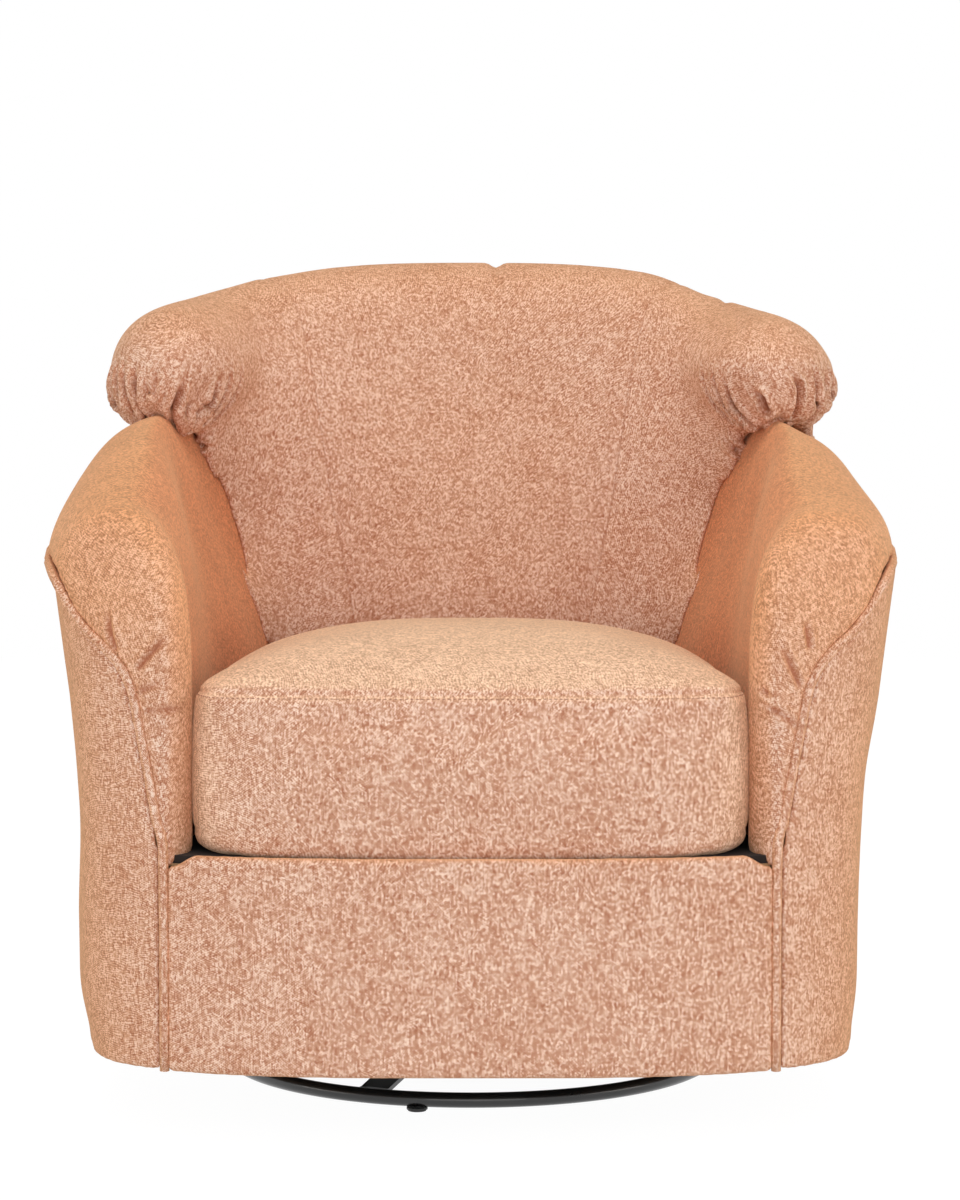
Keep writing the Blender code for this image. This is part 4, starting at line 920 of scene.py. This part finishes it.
class CHAIR_OT_stage(bpy.types.Operator):
    """Set the camera, the lamps, the pale floor and the white background"""

    bl_idname = "chair.stage"
    bl_label = "Stage"

    floor_size = 12.0
    floor_glow = 1.10
    shadow_share = 0.12
    left_share = 0.85
    white = (1.0, 0.985, 0.965)
    warm = (1.0, 0.93, 0.84)

    def execute(self, context):
        stage = context.scene.chair_stage
        self.camera(context, stage)
        self.lamps(stage)
        self.floor()
        self.background(context, stage)
        context.scene.view_settings.view_transform = "Standard"
        return {"FINISHED"}

    def camera(self, context, stage):
        data = bpy.data.cameras.new("camera")
        data.sensor_width = SENSOR_MM
        data.sensor_fit = "AUTO"
        data.lens = stage.lens
        data.clip_end = 50.0
        made = bpy.data.objects.new("camera", data)
        made.location = stage.camera_place
        made.rotation_euler = (math.pi / 2 - stage.camera_down, 0.0, 0.0)
        context.scene.collection.objects.link(made)
        context.scene.camera = made

    def lamps(self, stage):
        """Each row: name, place, height of what it lights, size, power and colour."""
        left_power = self.left_share * stage.side_power
        for name, place, aim_z, size, power, tint in (
                ("front_lamp", (0.1, -2.5, 0.90), 0.45, (2.0, 1.4), stage.key_power, self.white),
                ("left_lamp", (-2.5, -1.1, 0.85), 0.55, (1.4, 0.9), left_power, self.warm),
                ("right_lamp", (2.5, -1.1, 0.85), 0.55, (1.4, 0.9), stage.side_power, self.warm),
                ("top_lamp", (0.0, -0.7, 3.0), 0.6, (1.8, 1.4), stage.top_power, self.warm)):
            lamp(name, place, (0, 0, aim_z), size, power, tint)

    def floor(self):
        half = self.floor_size / 2
        mesh = bpy.data.meshes.new("floor")
        mesh.from_pydata([(-half, -half, 0), (half, -half, 0), (half, half, 0), (-half, half, 0)], [],
                         [(0, 1, 2, 3)])
        floor = new_object("floor", mesh)
        made, tree, shader = new_material("pale_floor")
        grey = (0.86, 0.86, 0.86, 1.0)
        set_inputs(shader, {"Base Color": grey, "Roughness": 0.9, "Specular IOR Level": 0.1})
        glow = tree.nodes.new("ShaderNodeEmission")
        set_inputs(glow, {"Color": (1.0, 1.0, 1.0, 1.0), "Strength": self.floor_glow})
        mix = tree.nodes.new("ShaderNodeMixShader")
        (seen_directly(tree) * (1 - self.shadow_share)).to(mix.inputs["Fac"])
        link(tree, (shader, "BSDF", mix, 1), (glow, "Emission", mix, 2),
             (mix, "Shader", tree.nodes["Material Output"], "Surface"))
        floor.data.materials.append(made)

    def background(self, context, stage):
        world = bpy.data.worlds.new("white_studio")
        world.use_nodes = True
        tree = world.node_tree
        sky = tree.nodes["Background"]
        set_inputs(sky, {"Color": (1.0, 1.0, 1.0, 1.0), "Strength": stage.sky})
        white = tree.nodes.new("ShaderNodeBackground")
        set_inputs(white, {"Color": (1.0, 1.0, 1.0, 1.0), "Strength": 1.0})
        mix = tree.nodes.new("ShaderNodeMixShader")
        seen_directly(tree).to(mix.inputs["Fac"])
        link(tree, (sky, "Background", mix, 1), (white, "Background", mix, 2),
             (mix, "Shader", tree.nodes["World Output"], "Surface"))
        context.scene.world = world


def settle(piece, pressure, cap, frames):
    """Puff a cover up with air pressure; no point moves further than the cap."""
    before = read_points(piece.data)
    cloth = piece.modifiers.new("puff", "CLOTH")
    cloth.settings.use_pressure = True
    cloth.settings.uniform_pressure_force = pressure
    cloth.settings.effector_weights.gravity = 0.0
    scene = bpy.context.scene
    for step in range(1, frames + 1):
        scene.frame_set(step)
    baked(piece)
    scene.frame_set(1)
    after = read_points(piece.data)
    move = after - before
    length = np.linalg.norm(move, axis=1, keepdims=True)
    write_points(piece.data, before + move * np.minimum(1.0, cap / np.maximum(length, 1e-9)))


def lean_corner(piece):
    """Lean the corner between the back and an arm outward above the cushion."""
    with points_of(piece) as points:
        rise = region(points, **CORNER_RISE) * (1 - CORNER_EASED * region(points, **CORNER_EASE))
        near = region(points, **CORNER_INNER) * region(points, **CORNER_OUTER)
        points[:, 0] += np.sign(points[:, 0]) * CORNER_LEAN * rise * near


def drop_hem(piece):
    """Let a piece's lower end down by the little that the cloth hangs below the frame's skirt."""
    with points_of(piece) as points:
        points[:, 2] -= HEM_DROP * region(points, **HEM)


def finish_cover(piece, material, nodes):
    dress(piece, material)
    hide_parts(*nodes)
    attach(piece, "seat")


class CHAIR_OT_seat_cushion(bpy.types.Operator):
    """Make the loose seat cushion, puffed up between the arms, with its two seams and stitches along the top
    one
    """

    bl_idname = "chair.seat_cushion"
    bl_label = "Seat cushion"

    soft_rounds = 3
    side_room = 0.0010
    top_room = 1.0
    seam_z = 0.4495
    seam_depth = 0.0030
    seam_width = 0.0034
    shoulder_share = 0.4
    shoulder_rise = 2.4
    low_seam_z = 0.3105
    low_seam_depth = 0.0016
    level_faces = (0.9, 0.5)
    ear = 0.006
    ear_reach = 0.017
    stitch_drop = 0.0045
    stitch_steps = 400
    stitch_length = 0.0034
    stitch_thickness = 0.0012
    stitch_pitch = 0.0052
    front_part = (0.22, 0.42)
    front_widening = 0.045
    sag = 0.008
    sag_height = 0.05
    sag_half_width = 0.27

    def execute(self, context):
        soft = context.scene.chair_soft
        low, high = (np.array(corner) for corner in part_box("seat_cushion"))
        piece = soft_copy("seat_cushion_cover", ["seat_cushion"], soft.cushion_voxel, self.soft_rounds)
        settle(piece, soft.pressure, soft.cap, soft.puff_frames)
        least = low - (self.side_room, self.side_room, 0.0)
        most = high + (self.side_room, self.side_room, self.top_room)
        write_points(piece.data, np.clip(read_points(piece.data), least, most))
        subdivide(piece, 1)
        baked(piece)
        self.front(piece, low)
        self.seams(piece)
        self.ears(piece, low, high)
        self.stitches(piece, low, high)
        # The cushion's cloth takes the painted highlight where it curves away
        finish_cover(piece, fabric("cushion_fabric", pale=True), ["seat_cushion"])
        return {"FINISHED"}

    def stitches(self, piece, low, high):
        """Fine stitches all round the top seam."""
        tree = surface_tree(piece)
        middle = Vector((0.0, (low[1] + high[1]) / 2, self.seam_z - self.stitch_drop))
        path = []
        for step in range(self.stitch_steps + 1):
            turn = 2 * math.pi * step / self.stitch_steps
            away = Vector((math.cos(turn), math.sin(turn), 0.0))
            place = tree.ray_cast(middle + away, -away)[0]
            if place is not None:
                path.append(place)
        row = stitch_row("cushion_stitches", [path], self.stitch_length, self.stitch_thickness,
                         self.stitch_pitch, worn_finish(*THREAD_FINISH))
        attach(row, "seat")

    def front(self, piece, low):
        """Square the front up between the arms, and let its lower edge hang over the rail."""
        with points_of(piece) as points:
            share = region(points, ahead=self.front_part)
            points[:, 0] *= 1 + self.front_widening * share
            share *= step_up(points[:, 2], low[2] + self.sag_height, low[2])
            middle = np.clip(1 - (points[:, 0] / self.sag_half_width) ** 2, 0.0, 1.0)
            points[:, 2] -= self.sag * share * middle

    def groove(self, heights, place, depth):
        return depth * np.exp(-((heights - place) / self.seam_width) ** 2)

    def seams(self, piece):
        heights = read_points(piece.data)[:, 2]
        level = step_up(np.abs(read_normals(piece.data)[:, 2]), *self.level_faces)
        shoulder_z = self.seam_z + self.shoulder_rise * self.seam_width
        top = self.groove(heights, shoulder_z, self.shoulder_share * self.seam_depth)
        top -= self.groove(heights, self.seam_z, self.seam_depth)
        foot = self.groove(heights, self.low_seam_z, self.low_seam_depth)
        swell(piece, (top - foot) * level)

    def ears(self, piece, low, high):
        """Pull out the corners of the top seam, where four layers of cloth meet."""
        with points_of(piece) as points:
            for side in (-1, 1):
                corner = np.array([high[0] * side, low[1], self.seam_z])
                tree = surface_tree(piece)
                place = np.array(tree.find_nearest(Vector(corner))[0])
                gap = np.linalg.norm(points - place, axis=1)
                pull = corner - place
                pull /= np.linalg.norm(pull)
                points += np.exp(-(gap / self.ear_reach) ** 2)[:, None] * pull * self.ear


class CHAIR_OT_inside_back(bpy.types.Operator):
    """Make the inside back with its roll, its seams and the gathered wings"""

    bl_idname = "chair.inside_back"
    bl_label = "Inside back"

    soft_rounds = 10
    even_rounds = 45
    room = 0.0015
    wing_room = 0.0020
    wing = {"across": (0.19, 0.25), "up": (0.62, 0.68)}
    neck = {"across": (0.13, 0.20), "up": (0.60, 0.70)}
    border = {"across": (0.17, 0.21), "up": (0.72, 0.66)}
    crown = {"across": (0.24, 0.16), "up": (0.78, 0.83)}
    right_wing = {"right": (0.20, 0.27), "up": (0.76, 0.82)}
    roll_top = {"up": (0.80, 0.84)}
    fine_x = 0.225
    fine_z = 0.655
    hollow_depth = 0.034
    hollow_rounds = 700
    crown_rise = 0.0025
    right_drop = 0.012
    seam_depth = 0.0020
    seam_width = 0.0045
    pleat_depth = 0.0108
    pleat_width = 0.0035
    pleat_shoulder = 0.6
    pleat_fade = 0.7
    gather_count = 11
    gather_first = math.radians(-8)
    gather_last = math.radians(215)
    gather_top = 0.018
    gather_wave = 0.012
    gather_turn = 2.4
    gather_drops = (0.010, 0.034, 0.056)
    gather_reach = 0.3
    side_lean = math.radians(24)

    def execute(self, context):
        soft = context.scene.chair_soft
        nodes = ["inside_back_centre", "inside_back_left", "inside_back_right"]
        piece = soft_copy("inside_back_cover", nodes, soft.voxel, self.soft_rounds)
        points = read_points(piece.data)
        wing = region(points, **self.wing)
        fill_hollows(piece, region(points, **self.neck), self.hollow_rounds, self.hollow_depth)
        relax(piece, np.maximum(wing, region(points, **self.border)), self.even_rounds)
        swell(piece, self.room + self.wing_room * wing)
        self.outline(piece)
        lean_corner(piece)
        refine(piece, (np.abs(points[:, 0]) > self.fine_x) & (points[:, 2] > self.fine_z))
        self.seams(piece)
        self.notches(piece)
        self.pleats(piece)
        # Less painted sheen on the back's sides and where it is seen at a low angle
        cloth = fabric("back_fabric", side_lean=self.side_lean, side_sheen=0.15, grazing_sheen=0.35)
        finish_cover(piece, cloth, nodes)
        return {"FINISHED"}

    def outline(self, piece):
        """Raise the crown of the roll a little and let the right wing down."""
        with points_of(piece) as points:
            points[:, 2] += self.crown_rise * region(points, **self.crown)
            points[:, 2] -= self.right_drop * region(points, **self.right_wing)

    def seams(self, piece):
        points = read_points(piece.data)
        slope_x, slope_y, place = back_seam()
        gap = np.abs(points[:, 0]) * slope_x + points[:, 1] * slope_y - place
        swell(piece, -self.seam_depth * np.exp(-(gap / self.seam_width) ** 2))

    def notches(self, piece):
        """Dents over the top of the roll, where the cloth is drawn in."""
        with points_of(piece) as points:
            for place, depth, width in NOTCHES:
                share = region(points, **self.roll_top) * np.exp(-((points[:, 0] - place) / width) ** 2)
                points[:, 2] -= depth * share

    def pleats(self, piece):
        """Gathers of the wings: those in the photograph, and even ones round the outer side and behind."""
        tree = surface_tree(piece)
        paths = [traced(tree, pixels) for pixels in WING_PLEATS]
        for _, side in SIDES:
            for index in range(self.gather_count):
                turn = self.gather_first + (self.gather_last - self.gather_first) * index / self.gather_count
                paths.append(self.gather(tree, side, turn, index))
        for path in paths:
            if len(path) > 1:
                crease(piece, path, self.pleat_depth, self.pleat_width, self.pleat_shoulder,
                       self.pleat_fade, 0.0)

    def gather(self, tree, side, turn, index):
        """One gather down the outer side of a wing; turn goes from straight out to straight behind."""
        top = self.gather_top + self.gather_wave * math.sin(index * self.gather_turn)
        away = Vector((side * math.cos(turn), math.sin(turn), 0.0))
        made = []
        for drop in (-top, *self.gather_drops):
            start = Vector((side * WING_X, WING_Y, WING_Z - drop)) + away * self.gather_reach
            place = tree.ray_cast(start, -away)[0]
            if place is not None:
                made.append(tuple(place))
        return made


class CHAIR_OT_arms(bpy.types.Operator):
    """Make the padded arms, wrinkled where their cloth turns into the welt"""

    bl_idname = "chair.arms"
    bl_label = "Arms"

    soft_rounds = 8
    even_rounds = 25
    loose_top = {"up": (0.54, 0.59)}
    loose_inside = {"across": (0.315, 0.290)}
    loose_front = {"ahead": (0.10, 0.25), "up": (0.46, 0.54)}
    inner_edge = {"across": (0.300, 0.275), "ahead": (0.20, 0.34), "up": (0.58, 0.50)}
    inner_front = {"ahead": (0.385, 0.350)}
    inner_room = 0.007
    outer_top = {"across": (0.30, 0.38), "up": (0.60, 0.68)}
    left_slope = 0.004
    right_slope = 0.018
    low_corner = {"across": (0.268, 0.295), "ahead": (0.36, 0.39), "up": (0.36, 0.292)}
    fine_y = -0.33
    fine_low_z = 0.36
    fine_high_z = 0.58
    wrinkle_depth = 0.0028
    wrinkle_width = 0.0032
    wrinkle_shoulder = 0.5
    wrinkle_fades = (0.5, 0.1)
    lean = math.radians(35)

    def execute(self, context):
        soft = context.scene.chair_soft
        for side_name, side in SIDES:
            node = f"arm_pad_{side_name}"
            piece = soft_copy(f"arm_cover_{side_name}", [node], soft.voxel, self.soft_rounds)
            points = read_points(piece.data)
            loose = np.maximum(region(points, **self.loose_top), region(points, **self.loose_inside))
            relax(piece, loose * region(points, **self.loose_front), self.even_rounds)
            swell(piece, CLOTH_ROOM)
            self.form(piece, side)
            lean_corner(piece)
            self.foot(piece)
            points = read_points(piece.data)
            middle = (points[:, 2] > self.fine_low_z) & (points[:, 2] < self.fine_high_z)
            refine(piece, middle & (points[:, 1] < self.fine_y))
            self.wrinkles(piece, side)
            # Painted shade and bounce light on the inside faces, and painted sheen high up
            cloth = fabric(f"arm_fabric_{side_name}", lean=side * self.lean, inner=0.85, tone=0.40)
            finish_cover(piece, cloth, [node])
        return {"FINISHED"}

    def form(self, piece, side):
        """Draw the inner front edge out beside the cushion, and the outer top down behind the elbow."""
        with points_of(piece) as points:
            inward = region(points, **self.inner_edge) * region(points, **self.inner_front)
            points[:, 0] += side * self.inner_room * inward
            slope = self.right_slope if side > 0 else self.left_slope
            points[:, 2] -= slope * region(points, **self.outer_top)

    def foot(self, piece):
        """Draw the lower front corner down beside the rail's cover."""
        with points_of(piece) as points:
            points[:, 2] -= CORNER_DROP * region(points, **self.low_corner)

    def wrinkles(self, piece, side):
        tree = surface_tree(piece)
        for pixels in ARM_WRINKLES:
            if (pixels[0][0] - IMAGE_WIDTH / 2) * side < 0:
                continue
            path = traced(tree, pixels)
            if len(path) > 1:
                crease(piece, path, self.wrinkle_depth, self.wrinkle_width, self.wrinkle_shoulder,
                       *self.wrinkle_fades)


class CHAIR_OT_panels(bpy.types.Operator):
    """Make the outside panels and the cover of the front rail, drawn in at the hem"""

    bl_idname = "chair.panels"
    bl_label = "Outside panels"

    soft_rounds = 2
    top_corners = {"across": (0.268, 0.295), "up": (0.22, 0.285)}
    outer = {"across": (0.34, 0.42)}
    tuck_left = 0.013
    tuck_right = 0.009
    left_top = {"right": (-0.37, -0.42), "up": (0.20, 0.32)}
    left_inset = 0.007
    right_foot = {"right": (0.37, 0.42), "up": (0.44, 0.34)}
    right_inset = 0.006

    def execute(self, context):
        soft = context.scene.chair_soft
        for node in ("outside_arm_left", "outside_arm_right", "outside_back", "front_rail_cover"):
            piece = soft_copy(f"{node}_cloth", [node], soft.panel_voxel, self.soft_rounds)
            swell(piece, CLOTH_ROOM)
            drop_hem(piece)
            if node == "front_rail_cover":
                self.corners(piece)
            else:
                self.tuck(piece)
            finish_cover(piece, fabric(), [node])
        return {"FINISHED"}

    def corners(self, piece):
        """Slope the top corners down beside the arms."""
        with points_of(piece) as points:
            points[:, 2] -= CORNER_DROP * region(points, **self.top_corners)

    def tuck(self, piece):
        """Round the lower outer corners in under the frame, and draw both sides in a little."""
        with points_of(piece) as points:
            tuck = np.where(points[:, 0] < 0, self.tuck_left, self.tuck_right)
            share = region(points, **self.outer) * region(points, **HEM) ** 2
            points[:, 0] -= np.sign(points[:, 0]) * tuck * share
            left = region(points, **self.left_top)
            right = region(points, **self.right_foot)
            points[:, 0] += self.left_inset * left - self.right_inset * right


class CHAIR_OT_welts(bpy.types.Operator):
    """Make the cords in the arm seams"""

    bl_idname = "chair.welts"
    bl_label = "Welts"

    room = 0.0013

    def execute(self, context):
        for side_name, _ in SIDES:
            node = f"arm_welt_{side_name}"
            piece = baked(smooth_copy(f"arm_piping_{side_name}", [node]))
            swell(piece, self.room)
            drop_hem(piece)
            dress(piece, fabric())
            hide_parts(node)
            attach(piece, "seat")
        return {"FINISHED"}


class CHAIR_OT_base_ring(bpy.types.Operator):
    """Make the smooth bent tube that stands on the floor"""

    bl_idname = "chair.base_ring"
    bl_label = "Base ring"

    turns = 160
    sides = 20

    def execute(self, context):
        low, high = (np.array(corner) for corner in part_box("base_ring"))
        tube = (high[2] - low[2]) / 2
        radius = (high[0] - low[0]) / 2 - tube
        form = bmesh.new()
        centre = bmesh.ops.create_circle(form, segments=self.sides, radius=tube)
        for point in centre["verts"]:
            point.co = Vector((radius + point.co.x, 0.0, low[2] + tube + point.co.y))
        bmesh.ops.spin(form, geom=form.verts[:] + form.edges[:], cent=(0, 0, 0), axis=(0, 0, 1),
                       angle=2 * math.pi, steps=self.turns)
        bmesh.ops.remove_doubles(form, verts=form.verts, dist=MERGE)
        bmesh.ops.recalc_face_normals(form, faces=form.faces)
        piece = object_from("base_ring_tube", form)
        piece.data.shade_smooth()
        dress(piece, worn_finish(*FINISHES["black_steel"]))
        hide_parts("base_ring")
        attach(piece, "base")
        return {"FINISHED"}


class CHAIR_OT_frame_finishes(bpy.types.Operator):
    """Give every other part of the frame its steel, wood, rubber, nylon or cloth finish"""

    bl_idname = "chair.frame_finishes"
    bl_label = "Frame finishes"

    def execute(self, context):
        finishes = {name: worn_finish(*values) for name, values in FINISHES.items()}
        finishes["frame_wood"] = wood_finish()
        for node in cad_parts.values():
            for slot in node.material_slots:
                name = slot.material.name.split(".")[0] if slot.material else ""
                if name in finishes:
                    slot.material = finishes[name]
        return {"FINISHED"}


class CHAIR_PT_panel(bpy.types.Panel):
    """Sizes, colours and pieces of the chair"""

    bl_idname = "CHAIR_PT_panel"
    bl_label = "Swivel glider chair"
    bl_space_type = "VIEW_3D"
    bl_region_type = "UI"
    bl_category = "Chair"

    def draw(self, context):
        for name in ("chair_stage", "chair_fabric", "chair_soft"):
            group = getattr(context.scene, name)
            box = self.layout.box()
            for key in group.__annotations__:
                box.prop(group, key)
        for operator in OPERATORS:
            self.layout.operator(operator.bl_idname)


OPERATORS = (CHAIR_OT_stage, CHAIR_OT_seat_cushion, CHAIR_OT_inside_back, CHAIR_OT_arms, CHAIR_OT_panels,
             CHAIR_OT_welts, CHAIR_OT_base_ring, CHAIR_OT_frame_finishes)
SETTINGS = {"chair_stage": StageSettings, "chair_fabric": FabricSettings, "chair_soft": SoftSettings}


def register():
    for group in SETTINGS.values():
        bpy.utils.register_class(group)
    for operator in OPERATORS:
        bpy.utils.register_class(operator)
    bpy.utils.register_class(CHAIR_PT_panel)
    for name, group in SETTINGS.items():
        setattr(bpy.types.Scene, name, PointerProperty(type=group))


def unregister():
    for name in SETTINGS:
        delattr(bpy.types.Scene, name)
    bpy.utils.unregister_class(CHAIR_PT_panel)
    for operator in reversed(OPERATORS):
        bpy.utils.unregister_class(operator)
    for group in reversed(list(SETTINGS.values())):
        bpy.utils.unregister_class(group)


def main():
    register()
    bpy.ops.chair.stage()
    bpy.ops.chair.seat_cushion()
    bpy.ops.chair.inside_back()
    bpy.ops.chair.arms()
    bpy.ops.chair.panels()
    bpy.ops.chair.welts()
    bpy.ops.chair.base_ring()
    bpy.ops.chair.frame_finishes()


if __name__ == "__main__":
    main()
